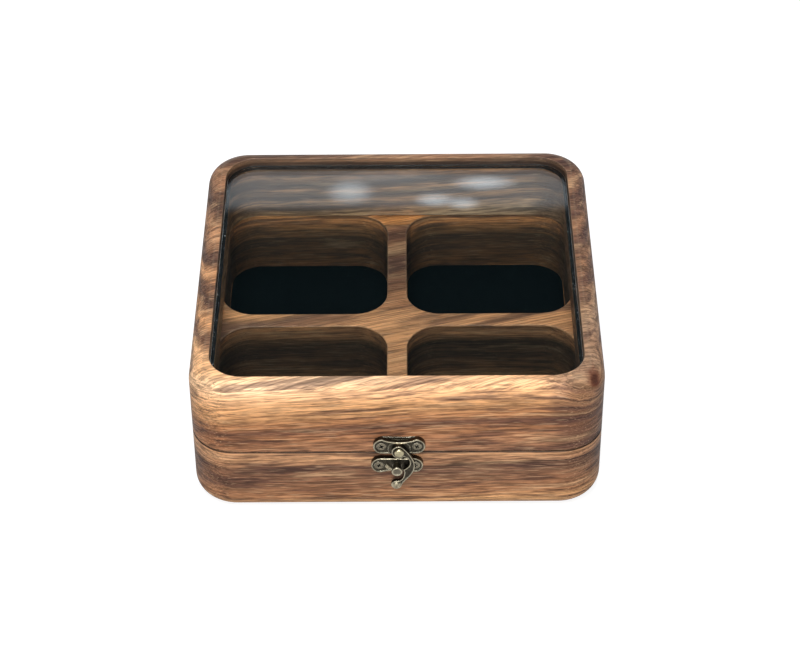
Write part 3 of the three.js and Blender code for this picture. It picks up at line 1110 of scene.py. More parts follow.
@dataclass(frozen=True)
class GlazingTape:
    """Black foam tape that the pane is bedded on."""

    name: str = "glazing tape"
    skin: Tone = (5, 5, 6)
    dust: Tone = (34, 35, 36)
    flake: Tone = (196, 198, 200)

    def material(self) -> bpy.types.Material:
        """Builds the finish.

        Returns:
            The material.
        """
        material, g = new_material(self.name)
        place = g.where()
        cells = g.noise(g.place(place, (4.0, 4.0, 4.0)), 3.0, 0.7)
        dust = g.noise(g.place(place, (0.4, 0.4, 0.4)), 3.0, 0.6)
        colour = g.mix(g.spread(dust, 0.5, 0.8, 0, 0.4), paint(*self.skin), paint(*self.dust))
        flakes = g.noise(g.place(place, (1.2, 0.6, 1.2)), 2.0, 0.6)
        beside = g.spread(g.math("ABSOLUTE", g.split(place)[0]), 88.0, 91.0)
        flakes = g.math("MULTIPLY", g.spread(flakes, 0.66, 0.72), beside)
        colour = g.mix(flakes, colour, paint(*self.flake))
        surface = g.node("BsdfPrincipled", {
            "Base Color": colour, "Roughness": g.spread(dust, 0.3, 0.7, 0.6, 0.9),
            "Specular IOR Level": 0.1,
            "Normal": g.bump(cells, 0.5, 0.05),
        })
        g.finish(surface.outputs[0])
        return material


@dataclass(frozen=True)
class AntiqueBronze:
    """Cast zinc plated in brass, blackened, and rubbed back to bright edges."""

    name: str
    metal: Tone = (168, 152, 112)
    bright: Tone = (232, 218, 172)
    dark: Tone = (46, 42, 36)
    tarnish: float = 0.75
    rubbed: float = 0.9
    cover: float = 0.88  # how much of the metal the blackening hides
    grain_size: float = 1.0
    blackened: tuple[tuple[float, float], ...] = ()  # depths along Y, mm

    def material(self) -> bpy.types.Material:
        """Builds the finish.

        Returns:
            The material.
        """
        material, g = new_material(self.name)
        place = g.where()
        mottle = Effects.get("mottle").put(g, Place=place, Size=self.grain_size)
        wear = Effects.get("wear").put(g, Place=place, Width=0.00035, Breakup=0.35)["Wear"]
        covered = g.math("MULTIPLY", mottle["Tarnish"], self.tarnish)
        colour = g.mix(covered, paint(*self.metal), paint(*self.dark))
        colour = g.mix(g.math("MULTIPLY", mottle["Pits"], 0.6), colour, paint(*self.dark))
        depth = g.split(place)[1]
        for front, back in self.blackened:
            inside = g.math("MULTIPLY", g.math("GREATER_THAN", depth, front),
                            g.math("LESS_THAN", depth, back))
            colour = g.mix(g.math("MULTIPLY", inside, self.cover), colour, paint(*self.dark))
        colour = g.mix(g.math("MULTIPLY", wear, self.rubbed), colour, paint(*self.bright))
        rough = g.spread(mottle["Tarnish"], 0.0, 1.0, 0.3, 0.5)
        rough = g.math("SUBTRACT", rough, g.math("MULTIPLY", wear, 0.08))
        surface = g.node("BsdfPrincipled", {
            "Base Color": colour, "Metallic": 1.0, "Roughness": rough,
            "Normal": g.bump(mottle["Height"], 0.4, 0.12),
        })
        g.finish(surface.outputs[0])
        return material


BASE_WALNUT = Walnut(
    name="walnut base", foot=-3.0, crown=44.0, seed=2.0, rise=0.022, dip=0.03, wander=2.2,
    board_tints=((255, 255, 255), (255, 244, 232), (206, 192, 186), (255, 228, 190)),
    bands=(
        (-3.0, (176, 130, 94)), (3.0, (214, 160, 110)), (9.0, (168, 118, 82)),
        (17.0, (142, 100, 72)), (23.0, (124, 88, 66)), (27.5, (104, 74, 56)),
        (30.0, (172, 126, 92)), (33.5, (202, 150, 108)), (36.5, (176, 130, 94)),
        (38.0, (206, 152, 108)), (40.0, (222, 166, 120)), (40.8, (146, 106, 80)),
        (41.6, (108, 80, 64)), (42.4, (226, 170, 122)), (44.0, (240, 184, 132)),
    ),
    shade=0.95, wall_greying=0.2,
)
LID_WALNUT = Walnut(
    name="walnut lid", foot=15.0, crown=116.0, seed=11.0, rise=0.06, dip=0.24, wander=2.6,
    joints=(300.0, 280.0, -280.0),
    board_tints=((255, 255, 255),) * 4,
    bands=(
        (15.0, (156, 110, 80)), (21.0, (166, 116, 82)), (27.0, (170, 116, 78)),
        (32.0, (116, 78, 58)), (36.0, (180, 124, 82)), (42.0, (202, 148, 100)),
        (48.0, (232, 172, 118)), (55.0, (242, 186, 136)), (62.0, (250, 204, 160)),
        (67.5, (240, 184, 132)), (71.0, (112, 76, 56)), (75.0, (216, 158, 108)),
        (79.0, (88, 60, 46)), (83.5, (220, 160, 110)), (87.0, (92, 64, 50)),
        (93.0, (190, 138, 98)), (98.0, (84, 58, 44)), (104.0, (158, 114, 82)),
        (110.0, (80, 56, 42)), (116.0, (124, 88, 64)),
    ),
    heart_and_shade=80.0, shade=0.6, shade_top=76.0, wall_greying=0.2, rebate=0.85,
    knot=(99.0, -93.0, 80.0),
)
LATCH_BRONZE = AntiqueBronze(
    name="antique bronze latch", metal=(196, 184, 156), bright=(246, 240, 216),
    dark=(38, 35, 32), tarnish=0.5,
)
PEG_BRONZE = AntiqueBronze(
    name="antique bronze peg", metal=(200, 190, 164), bright=(236, 230, 210),
    dark=(84, 78, 70), tarnish=0.35, cover=0.75,
)
SCREW_BRONZE = AntiqueBronze(
    name="antique bronze screw", metal=(150, 140, 120), bright=(226, 218, 196),
    dark=(14, 13, 12), tarnish=0.5, cover=1.0,
)
RUBBED_BRASS = AntiqueBronze(
    name="rubbed brass", metal=(206, 196, 162), dark=(120, 110, 86), tarnish=0.5
)
HINGE_BRONZE = AntiqueBronze(
    name="antique bronze hinge", metal=(150, 130, 100), tarnish=0.5, grain_size=2.4
)


# ---- The wooden case -----------------------------------------------------------------
CORNER_RADIUS = 22.4  # outer corners, seen from above
EDGE_ROUND = 10.0  # along the top and bottom edges
EDGE_STEPS = 12
SEAM_ARRIS = 0.45  # eased edges either side of the saw cut
ARRIS_STEPS = 3


@dataclass
class BaseBlock:
    """The lower half: a rounded block with four pockets."""

    node: str = "base_block"
    pocket_nodes: tuple[str, ...] = tuple(
        f"felt_pad_{row}_{column}" for row in ("front", "back") for column in ("left", "right")
    )
    pocket_radius: float = 18.0
    pad_clearance: float = 0.3
    mouth_arris: float = 0.7

    def __post_init__(self) -> None:
        """Reads the block's size from the frame."""
        self.low, self.high = box_mm(self.node)

    def outline(self, height: float) -> Ring:
        """The block's outer wall at one height."""
        half = (self.high - self.low) / 2
        return Ring(half.x, half.y, CORNER_RADIUS, height)

    def pocket(self, node: str, height: float) -> Ring:
        """The wall of the pocket that one pad lies in.

        Args:
            node: the pad's frame node.
            height: the height of the outline.

        Returns:
            The wall's outline.
        """
        low, high = box_mm(node)
        half, centre = (high - low) / 2, (high + low) / 2
        grow = self.pad_clearance
        return Ring(
            half.x + grow, half.y + grow, self.pocket_radius, height, (centre.x, centre.y)
        )

    def build(self) -> BMesh:
        """Builds the block and its pockets.

        Returns:
            The closed solid.
        """
        bm = bmesh.new()
        top = self.high.z
        wall = self.outline(top)
        under = quarter_round(wall, EDGE_ROUND, self.low.z + EDGE_ROUND, -1, EDGE_STEPS)
        seam = quarter_round(wall, SEAM_ARRIS, top - SEAM_ARRIS, 1, ARRIS_STEPS)
        shell = loft(bm, under[::-1] + seam)
        cap(bm, shell[0])
        openings = list(shell[-1])
        for node in self.pocket_nodes:
            floor = box_mm(node)[0].z
            hole = self.pocket(node, top)
            mouth = quarter_round(
                hole, -self.mouth_arris, top - self.mouth_arris, 1, ARRIS_STEPS
            )
            walls = loft(bm, [hole.grown(0, floor)] + mouth)
            cap(bm, walls[0])
            openings += walls[-1]
        bmesh.ops.triangle_fill(bm, use_beauty=True, use_dissolve=False, edges=openings)
        return cleaned(bm)

    def dress(self, material: bpy.types.Material) -> bpy.types.Object:
        """Finishes the block in walnut.

        Args:
            material: the block's finish.

        Returns:
            The finished piece.
        """
        return finish_piece(
            self.build(), Label("walnut_base", "base", "walnut", self.node), material
        )


@dataclass
class FeltPads:
    """Four pads of thick felt, cut to lie in the pockets."""

    nodes: tuple[str, ...] = BaseBlock.pocket_nodes
    radius: float = 17.7
    soft_edge: float = 0.35

    def build(self, node: str) -> BMesh:
        """Builds one pad.

        Args:
            node: the pad's frame node.

        Returns:
            The pad, with a soft upper edge.
        """
        low, high = box_mm(node)
        half, centre = (high - low) / 2, (high + low) / 2
        bm = bmesh.new()
        wall = Ring(half.x, half.y, self.radius, low.z, (centre.x, centre.y))
        edge = quarter_round(wall, self.soft_edge, high.z - self.soft_edge, 1, ARRIS_STEPS)
        loops = loft(bm, [wall] + edge)
        cap(bm, loops[0])
        cap(bm, loops[-1])
        return cleaned(bm)

    def dress(self, material: bpy.types.Material) -> list[bpy.types.Object]:
        """Args:
            material: the pads' finish.

        Returns:
            The finished pads.
        """
        pads = []
        for node in self.nodes:
            name = node.replace("pad", "lining")
            pad = finish_piece(self.build(node), Label(name, "base", "felt", node), material)
            pads.append(pad)
        return pads


@dataclass
class LidFrame:
    """The upper half: a rounded frame with a ledge for the pane."""

    node: str = "lid_frame"
    glass_node: str = "glass_pane"
    tape_node: str = "glass_bedding"
    glass_clearance: float = 0.3
    opening_radius: float = 17.3
    lip_width: float = 2.2
    lip_thickness: float = 3.0
    hollow_step: float = 0.2  # the hollow's wall stands this far inside the opening's
    rim_arris: float = 0.6
    lip_arris: float = 0.3

    def __post_init__(self) -> None:
        """Reads the frame's size and the pane's seat."""
        self.low, self.high = box_mm(self.node)
        glass_low, glass_high = box_mm(self.glass_node)
        self.opening_half = (glass_high - glass_low) / 2 + Vector((1, 1, 0)) * self.glass_clearance
        self.lip_top = box_mm(self.tape_node)[0].z

    def opening(self, grow: float, height: float) -> Ring:
        """The sight opening's wall, moved outwards, at one height."""
        half = self.opening_half
        return Ring(half.x, half.y, self.opening_radius, height).grown(grow, height)

    def build(self) -> BMesh:
        """Builds the frame as one closed section.

        Returns:
            The closed solid.
        """
        half = (self.high - self.low) / 2
        wall = Ring(half.x, half.y, CORNER_RADIUS, self.low.z)
        lip_bottom = self.lip_top - self.lip_thickness
        hollow = self.opening(-self.hollow_step, self.low.z)
        sight = self.opening(0, self.lip_top)
        lip = self.opening(-self.lip_width, self.lip_top)
        rings = quarter_round(wall, SEAM_ARRIS, self.low.z + SEAM_ARRIS, -1, ARRIS_STEPS)[::-1]
        rings += quarter_round(wall, EDGE_ROUND, self.high.z - EDGE_ROUND, 1, EDGE_STEPS)
        rings += quarter_round(
            sight, -self.rim_arris, self.high.z - self.rim_arris, 1, ARRIS_STEPS
        )[::-1]
        rings += [sight.grown(0, self.lip_top + HAIR)]
        rings += quarter_round(
            lip, -self.lip_arris, self.lip_top - self.lip_arris, 1, ARRIS_STEPS
        )[::-1]
        rings += [lip.grown(0, lip_bottom), hollow.grown(0, lip_bottom + HAIR)]
        rings += quarter_round(
            hollow, -SEAM_ARRIS, self.low.z + SEAM_ARRIS + HAIR, -1, ARRIS_STEPS
        )
        bm = bmesh.new()
        loft(bm, rings, closed=True)
        return cleaned(bm)

    def dress(self, material: bpy.types.Material) -> bpy.types.Object:
        """Finishes the frame in walnut.

        Args:
            material: the frame's finish.

        Returns:
            The finished piece.
        """
        return finish_piece(
            self.build(), Label("walnut_lid", "lid", "walnut", self.node), material
        )


@dataclass
class Glazing:
    """The pane and the tape that it is bedded on."""

    pane_node: str = "glass_pane"
    tape_node: str = "glass_bedding"
    pane_radius: float = 17.0
    tape_width: float = 1.9
    ground_edge: float = 0.35

    def pane(self) -> BMesh:
        """Builds the pane, its edges ground to a chamfer.

        Returns:
            The closed solid.
        """
        low, high = box_mm(self.pane_node)
        half = (high - low) / 2
        wall = Ring(half.x, half.y, self.pane_radius, low.z)
        edge = self.ground_edge
        bm = bmesh.new()
        loops = loft(bm, [
            wall.grown(-edge, low.z), wall.grown(0, low.z + edge),
            wall.grown(0, high.z - edge), wall.grown(-edge, high.z),
        ])
        cap(bm, loops[0])
        cap(bm, loops[-1])
        return cleaned(bm)

    def tape(self) -> BMesh:
        """Builds the tape as a flat band under the pane's edge.

        Returns:
            The closed solid.
        """
        low, high = box_mm(self.tape_node)
        half = (high - low) / 2
        outer = Ring(half.x, half.y, self.pane_radius, low.z)
        inner = outer.grown(-self.tape_width, low.z)
        bm = bmesh.new()
        tops = [outer.grown(0, high.z), inner.grown(0, high.z - HAIR)]
        loft(bm, [outer, *tops, inner.grown(0, low.z + HAIR)], closed=True)
        return cleaned(bm)

    def dress(self, glass: bpy.types.Material, tape: bpy.types.Material) -> None:
        """Finishes the pane in glass and the band in tape."""
        finish_piece(self.tape(), Label("glazing_tape", "lid", "bedding", self.tape_node), tape)
        finish_piece(self.pane(), Label("clear_pane", "lid", "glass", self.pane_node), glass)


# ---- Metal fittings ------------------------------------------------------------------
SCREW_STEPS = 28
BARREL_STEPS = 48


@dataclass(frozen=True)
class Screw:
    """A countersunk cross-head screw, drawn with its head's face at 0 and its tip below."""

    head: float
    shank: float
    length: float
    recess: float  # how far the cross reaches from side to side
    slot: float  # how wide each arm of the cross is
    recess_depth: float = 0.9
    rim: float = 0.15
    dome: float = 0.12  # how far its face falls to the edge
    dome_edge: float = 0.5
    arm_taper: tuple[float, float] = (0.7, 0.9)  # of an arm's length and width at its foot
    thread_pitch: float = 0.9
    thread_depth: float = 0.22

    def build(self) -> BMesh:
        """Builds the screw.

        Returns:
            The closed solid.
        """
        dome, cone = self.dome, self.head - self.shank
        profile = [(0, 0), (self.head - self.dome_edge, -dome * 0.5), (self.head - 0.08, -dome)]
        profile += [(self.head, -dome - 0.05), (self.head, -dome - self.rim)]
        profile += [(self.shank, -self.rim - dome - cone)]
        depth = self.rim + dome + cone + self.thread_pitch / 2
        while depth < self.length - self.shank - self.thread_pitch:
            profile += [
                (self.shank, -depth),
                (self.shank - self.thread_depth, -depth - self.thread_pitch / 2),
            ]
            depth += self.thread_pitch
        profile += [(self.shank, self.shank - self.length), (0, -self.length)]
        solid = turned(profile[::-1], SCREW_STEPS)
        for wide, deep in ((self.recess, self.slot), (self.slot, self.recess)):
            solid = carve(solid, self.arm(wide, deep), Cut.AWAY)
        return solid

    def arm(self, wide: float, deep: float) -> BMesh:
        """One bar of the cross, narrowing as it goes down.

        Args:
            wide: its size along X.
            deep: its size along Y.

        Returns:
            The bar, to cut with.
        """
        reach = Vector((wide / 2, deep / 2, self.recess_depth))
        bar = block(-reach, reach)
        long, thin = self.arm_taper
        for vert in bar.verts:
            if vert.co.z < 0:
                vert.co.x *= long if wide > deep else thin
                vert.co.y *= long if deep > wide else thin
        return bar


LATCH_SCREW = Screw(head=2.3, shank=1.2, length=9.4, recess=3.1, slot=0.9)
HINGE_SCREW = Screw(head=1.9, shank=1.0, length=7.6, recess=2.2, slot=0.5)
COUNTERSINK_CLEARANCE = 0.15


def countersink(screw: Screw, centre: Vector, face: float, depth: float) -> BMesh:
    """The hole that a screw's head sinks into, as a solid to cut with.

    Args:
        screw: the screw that goes in.
        centre: its place on the plate.
        face: the height of the screw's face.
        depth: how far below its face the hole goes.

    Returns:
        The cutter.
    """
    gap = COUNTERSINK_CLEARANCE
    cone = screw.head - screw.shank
    over = 2.0
    profile = [
        (0, -depth), (screw.shank + gap, -depth), (screw.shank + gap, -screw.rim - gap - cone),
        (screw.head + gap, -screw.rim - gap), (screw.head + gap, over), (0, over),
    ]
    return moved(turned(profile, SCREW_STEPS), Matrix.Translation((*centre, face)))


RIVET_HEAD = ((0.15, 0.0), (0.0, 0.15), (0.0, 0.55), (0.12, 0.78), (0.45, 0.96), (1.1, 1.07))
PEG_HEAD = (
    (0.15, 0.2), (0.0, 0.4), (0.0, 0.8), (0.12, 1.08), (0.35, 1.26), (0.6, 1.3), (0.85, 1.26),
    (1.1, 1.1),
)


def headed(shank: float, foot: float, head: float, under: float,
           shape: tuple[tuple[float, float], ...]) -> list[tuple[float, float]]:
    """The profile of a round pin with a head, up to the last point of the head's shape.

    Args:
        shank: the shank's radius.
        foot: the height it starts at.
        head: the head's radius.
        under: the height of the head's underside.
        shape: how far in from the head's radius and up from its underside each point is.

    Returns:
        Pairs of radius and height.
    """
    profile = [(0, foot), (shank, foot), (shank, under)]
    return profile + [(head - inset, under + rise) for inset, rise in shape]


@dataclass
class Latch:
    """The swing-hook latch: two eared plates, a hook on its pivot, a peg and four screws."""

    ear_radius: float = 4.65
    ear_offset: float = 8.5
    upper_dip: float = 2.0
    lower_dip: float = 1.2
    edge_bow: float = 0.08  # of the plates' long straight edges, inwards
    ledge_dip: float = 0.3  # of the straighter edge behind the upper plate's dip
    ledge_front: float = 0.5
    seat: float = 0.05
    arris: float = 0.28
    rim: float = 0.55
    sink: float = 0.42
    field_round: float = 0.15
    hook_arris: float = 0.3
    hook_rim: float = 0.45
    hook_sink: float = 0.24
    over: float = 1.0  # how far a cutter stands past the face it starts from
    boss_radius: float = 5.6
    boss_inset: float = 0.42  # of the seat from the plate's own edge
    rivet_radius: float = 1.5
    rivet_head: float = 2.45
    rivet_head_height: float = 1.1
    peg_radius: float = 2.0
    peg_head: float = 2.9
    peg_head_height: float = 1.3
    peg_hollow: float = 0.24  # how far the middle of its face lies below its rim
    running_clearance: float = 0.15
    fit_clearance: float = 0.1
    eye_radius: float = 3.9
    tail_radius: float = 2.7
    tail_flattening: float = 0.75
    tail_offset: tuple[float, float] = (-1.5, -22.1)  # of the tail from the pivot

    def __post_init__(self) -> None:
        """Reads where each piece sits."""
        self.front = box_mm("base_block")[0].y
        self.pivot = self.flat_middle("latch_pivot_rivet")
        self.peg = self.flat_middle("latch_peg")
        screw_low = box_mm("latch_screw_upper_left")[0]
        self.plate_front = self.front - screw_low.y
        self.rivet_crown = self.front - box_mm("latch_pivot_rivet")[0].y
        self.peg_crown = self.front - box_mm("latch_peg")[0].y
        upper_low = box_mm("latch_upper_plate")[0]
        self.boss_front = self.front - upper_low.y
        self.hook_back = self.boss_front + self.running_clearance
        self.hook_front = self.rivet_crown - self.rivet_head_height - self.running_clearance
        self.upper_centre = Vector((self.pivot.x, upper_low.z + self.ear_radius))
        lower_low, lower_high = box_mm("latch_lower_plate")
        self.lower_centre = Vector(
            ((lower_low.x + lower_high.x) / 2, lower_high.z - self.ear_radius)
        )

    def dark_depths(self) -> tuple[tuple[float, float], ...]:
        """The depths along Y where the plates and the hook are blackened, front first.

        Returns:
            The front and the back of each range, in millimetres.
        """
        ranges = (
            (-1.0, self.plate_front - 0.25),
            (self.hook_back - 0.05, self.hook_front - 0.15),
        )
        return tuple((self.front - high, self.front - low) for low, high in ranges)

    def seat_depths(self) -> tuple[tuple[float, float], ...]:
        """The same depths with the face of the raised seat."""
        seat = (self.front - self.boss_front - 0.05, self.front - self.boss_front + 0.2)
        return (*self.dark_depths(), seat)

    def peg_depths(self) -> tuple[tuple[float, float], ...]:
        """The depths along Y where the peg is blackened: all but the ring round its face."""
        return ((self.front - self.peg_crown + 0.12, 0.0),)

    def cross_depths(self) -> tuple[tuple[float, float], ...]:
        """The depths along Y where the screws' crosses are blackened."""
        return ((self.front - self.plate_front + 0.24, 0.0),)

    @staticmethod
    def flat_middle(node: str) -> Vector:
        """A node's centre as seen from the front."""
        middle = middle_mm(node)
        return Vector((middle.x, middle.z))

    def stood_up(self, bm: BMesh) -> BMesh:
        """Stands a piece drawn flat up against the front of the case."""
        return moved(bm, Matrix.Translation((0, self.front, 0)) @ FRONT)

    def plate_outline(self, centre: Vector, dip: float, up: int) -> Outline:
        """A plate with a round ear at each end and one dipping long edge.

        Args:
            centre: the plate's centre.
            dip: how far the edge dips at its middle.
            up: 1 with the dip at the top, -1 with it below.

        Returns:
            The outline.
        """
        radius, quarter = self.ear_radius, math.pi / 2
        waist = radius - dip * 4 / 3
        reach = self.ear_offset * 0.35
        ears = [centre + Vector((side * self.ear_offset, 0)) for side in (-1, 1)]
        outline = Outline()
        if up > 0:
            outline.arc(ears[0], radius, quarter, 3 * quarter)
            outline.line(ears[1] + Vector((0, -radius)), self.edge_bow)
            outline.arc(ears[1], radius, -quarter, quarter)
            handles = [centre + Vector((side * reach, waist)) for side in (1, -1)]
            return outline.curve(*handles, ears[0] + Vector((0, radius)))
        outline.arc(ears[1], radius, -quarter, quarter)
        outline.line(ears[0] + Vector((0, radius)), -self.edge_bow)
        outline.arc(ears[0], radius, quarter, 3 * quarter)
        handles = [centre + Vector((side * reach, -waist)) for side in (-1, 1)]
        return outline.curve(*handles, ears[1] + Vector((0, -radius)))

    def screw_places(self, level: str) -> list[tuple[str, Vector]]:
        """The names and places of one plate's screws."""
        names = [f"latch_screw_{level}_{side.name.lower()}" for side in Side]
        return [(name, self.flat_middle(name)) for name in names]

    def cut_holes(self, solid: BMesh, level: str) -> BMesh:
        """Cuts one plate's countersinks.

        Args:
            solid: the plate.
            level: upper or lower.

        Returns:
            The plate with its holes.
        """
        for _, centre in self.screw_places(level):
            tool = countersink(LATCH_SCREW, centre, self.plate_front, self.plate_front + 1)
            solid = carve(solid, tool, Cut.AWAY)
        return solid

    def upper_plate(self) -> BMesh:
        """Builds the lid's plate, with the raised seat round the pivot.

        Returns:
            The closed solid.
        """
        outline = self.plate_outline(self.upper_centre, self.upper_dip, 1)
        solid = plate(outline, self.seat, self.plate_front, self.arris)
        field = self.sunk_face(outline, self.plate_front, self.rim, self.sink)
        solid = carve(solid, field, Cut.AWAY)
        behind = self.plate_outline(self.upper_centre, self.ledge_dip, 1)
        ledge = plate(behind, self.seat + 0.02, self.ledge_front, self.arris / 2, 0.06)
        solid = carve(solid, ledge, Cut.JOIN)
        boss = stub(self.boss_radius, self.pivot, self.over, self.boss_front)
        clip = plate(outline, 0, self.boss_front + self.over, self.field_round, self.boss_inset)
        solid = carve(solid, carve(boss, clip, Cut.SHARED), Cut.JOIN)
        hole = stub(self.rivet_radius + self.fit_clearance, self.pivot, -1, self.rivet_crown)
        return self.cut_holes(carve(solid, hole, Cut.AWAY), "upper")

    def sunk_face(self, outline: Outline, face: float, rim: float, depth: float) -> BMesh:
        """What is cut from a plate's face to leave a raised rim.

        Args:
            outline: the plate's outline.
            face: the height of its face.
            rim: how wide the rim is.
            depth: how far the face sinks.

        Returns:
            The cutter.
        """
        return plate(outline, face - depth, face + self.over, self.field_round, rim)

    def thorn(self) -> BMesh:
        """Builds the raised thorn that runs down to the foot of the peg.

        Returns:
            The closed solid.
        """
        corners = [(-5.3, 1.8), (-6.2, 0.2), (-5.3, -1.3), (-2.4, -2.1), (-2.7, -1.2)]
        outline = Outline()
        for corner in corners + corners[:1]:
            outline.line(self.peg + Vector(corner))
        return plate(outline, self.over, self.boss_front, self.field_round)

    def lower_plate(self) -> BMesh:
        """Builds the base's plate, with its thorn.

        Returns:
            The closed solid.
        """
        outline = self.plate_outline(self.lower_centre, self.lower_dip, -1)
        solid = plate(outline, self.seat, self.plate_front, self.arris)
        field = self.sunk_face(outline, self.plate_front, self.rim, self.sink)
        solid = carve(solid, field, Cut.AWAY)
        solid = carve(solid, self.thorn(), Cut.JOIN)
        hole = stub(self.peg_radius + self.fit_clearance, self.peg, -1, self.peg_crown)
        return self.cut_holes(carve(solid, hole, Cut.AWAY), "lower")

    def hook_outline(self) -> Outline:
        """The hook: an eye, a crescent that bows to the right, and a neck to its tail.

        Returns:
            The outline.
        """
        at = self.pivot
        tail = at + Vector(self.tail_offset)
        eye_end, tail_start, tail_end = -0.95, 1.25, 2 * math.pi - 0.17
        outline = Outline().arc(at, self.eye_radius, math.pi / 2, 2 * math.pi + eye_end)
        outline.curve(
            at + Vector((5.6, -3.4)), at + Vector((7.2, -9.8)), at + Vector((2.0, -11.7))
        )
        start = tail + Vector((math.cos(tail_start), math.sin(tail_start))) * self.tail_radius
        outline.curve(at + Vector((3.0, -13.6)), at + Vector((2.4, -18.9)), start)
        outline.arc(tail, self.tail_radius, tail_start, tail_end)
        outline.curve(
            at + Vector((2.0, -18.9)), at + Vector((7.9, -15.6)), at + Vector((7.9, -9.3))
        )
        return outline.curve(
            at + Vector((7.95, -4.2)), at + Vector((2.2, self.eye_radius)),
            at + Vector((0, self.eye_radius)),
        )

    def hook(self) -> BMesh:
        """Builds the hook, its face sunk inside a rim, with a round finger tail.

        Returns:
            The closed solid.
        """
        outline, bore = self.hook_outline(), self.rivet_radius + self.running_clearance
        solid = plate(outline, self.hook_back, self.hook_front, self.hook_arris)
        field = self.sunk_face(outline, self.hook_front, self.hook_rim, self.hook_sink)
        eye = stub(bore + self.hook_rim, self.pivot, 0, self.peg_crown)
        solid = carve(solid, carve(field, eye, Cut.AWAY), Cut.AWAY)
        solid = carve(solid, stub(bore, self.pivot, 0, self.peg_crown), Cut.AWAY)
        ball = bmesh.new()
        tail = self.pivot + Vector(self.tail_offset)
        depth = (self.hook_back + self.hook_front) / 2
        place = Matrix.Translation((*tail, depth)) @ Matrix.Diagonal(
            (1, 1, self.tail_flattening, 1)
        )
        bmesh.ops.create_uvsphere(
            ball, u_segments=28, v_segments=18, radius=self.tail_radius, matrix=place
        )
        return carve(solid, ball, Cut.JOIN)

    def rivet(self) -> BMesh:
        """Builds the pivot rivet with its hammered head.

        Returns:
            The closed solid.
        """
        under = self.rivet_crown - self.rivet_head_height
        profile = headed(self.rivet_radius, self.seat, self.rivet_head, under, RIVET_HEAD)
        profile.append((0, self.rivet_crown))
        return moved(turned(profile), Matrix.Translation((*self.pivot, 0)))

    def peg_solid(self) -> BMesh:
        """Builds the peg, its head faced flat inside a rim.

        Returns:
            The closed solid.
        """
        under = self.peg_crown - self.peg_head_height
        profile = headed(self.peg_radius, self.seat, self.peg_head, under, PEG_HEAD)
        profile.append((0, self.peg_crown - self.peg_hollow))
        return moved(turned(profile), Matrix.Translation((*self.peg, 0)))

    def dress(self, upper: bpy.types.Material, bronze: bpy.types.Material,
              peg: bpy.types.Material, screws: bpy.types.Material,
              brass: bpy.types.Material) -> None:
        """Finishes every piece of the latch.

        Args:
            upper: the lid's plate's finish.
            bronze: the base's plate's and the hook's finish.
            peg: the peg's finish.
            screws: the screws' finish.
            brass: the rivet's finish.
        """
        pieces = (
            (self.upper_plate(), "latch_keeper_upper", "lid", "latch_upper_plate", upper),
            (self.rivet(), "latch_rivet", "lid", "latch_pivot_rivet", brass),
            (self.hook(), "latch_swing_hook", "hook", "latch_hook", bronze),
            (self.lower_plate(), "latch_keeper_lower", "base", "latch_lower_plate", bronze),
            (self.peg_solid(), "latch_catch_peg", "base", "latch_peg", peg),
        )
        for bm, name, body, node, material in pieces:
            label = Label(name, body, "antique_bronze", node)
            finish_piece(self.stood_up(bm), label, material)
        screw = LATCH_SCREW.build()
        turns = {"upper": 0.55, "lower": -0.4}
        for level, body in (("upper", "lid"), ("lower", "base")):
            for number, (node, centre) in enumerate(self.screw_places(level)):
                turn = Matrix.Rotation(turns[level] + 0.5 * number, 4, "Z")
                place = Matrix.Translation((*centre, self.plate_front)) @ turn
                label = Label(
                    node.replace("screw", "cross_screw"), body, "antique_bronze", node
                )
                finish_piece(self.stood_up(moved(screw.copy(), place)), label, screws)
        screw.free()


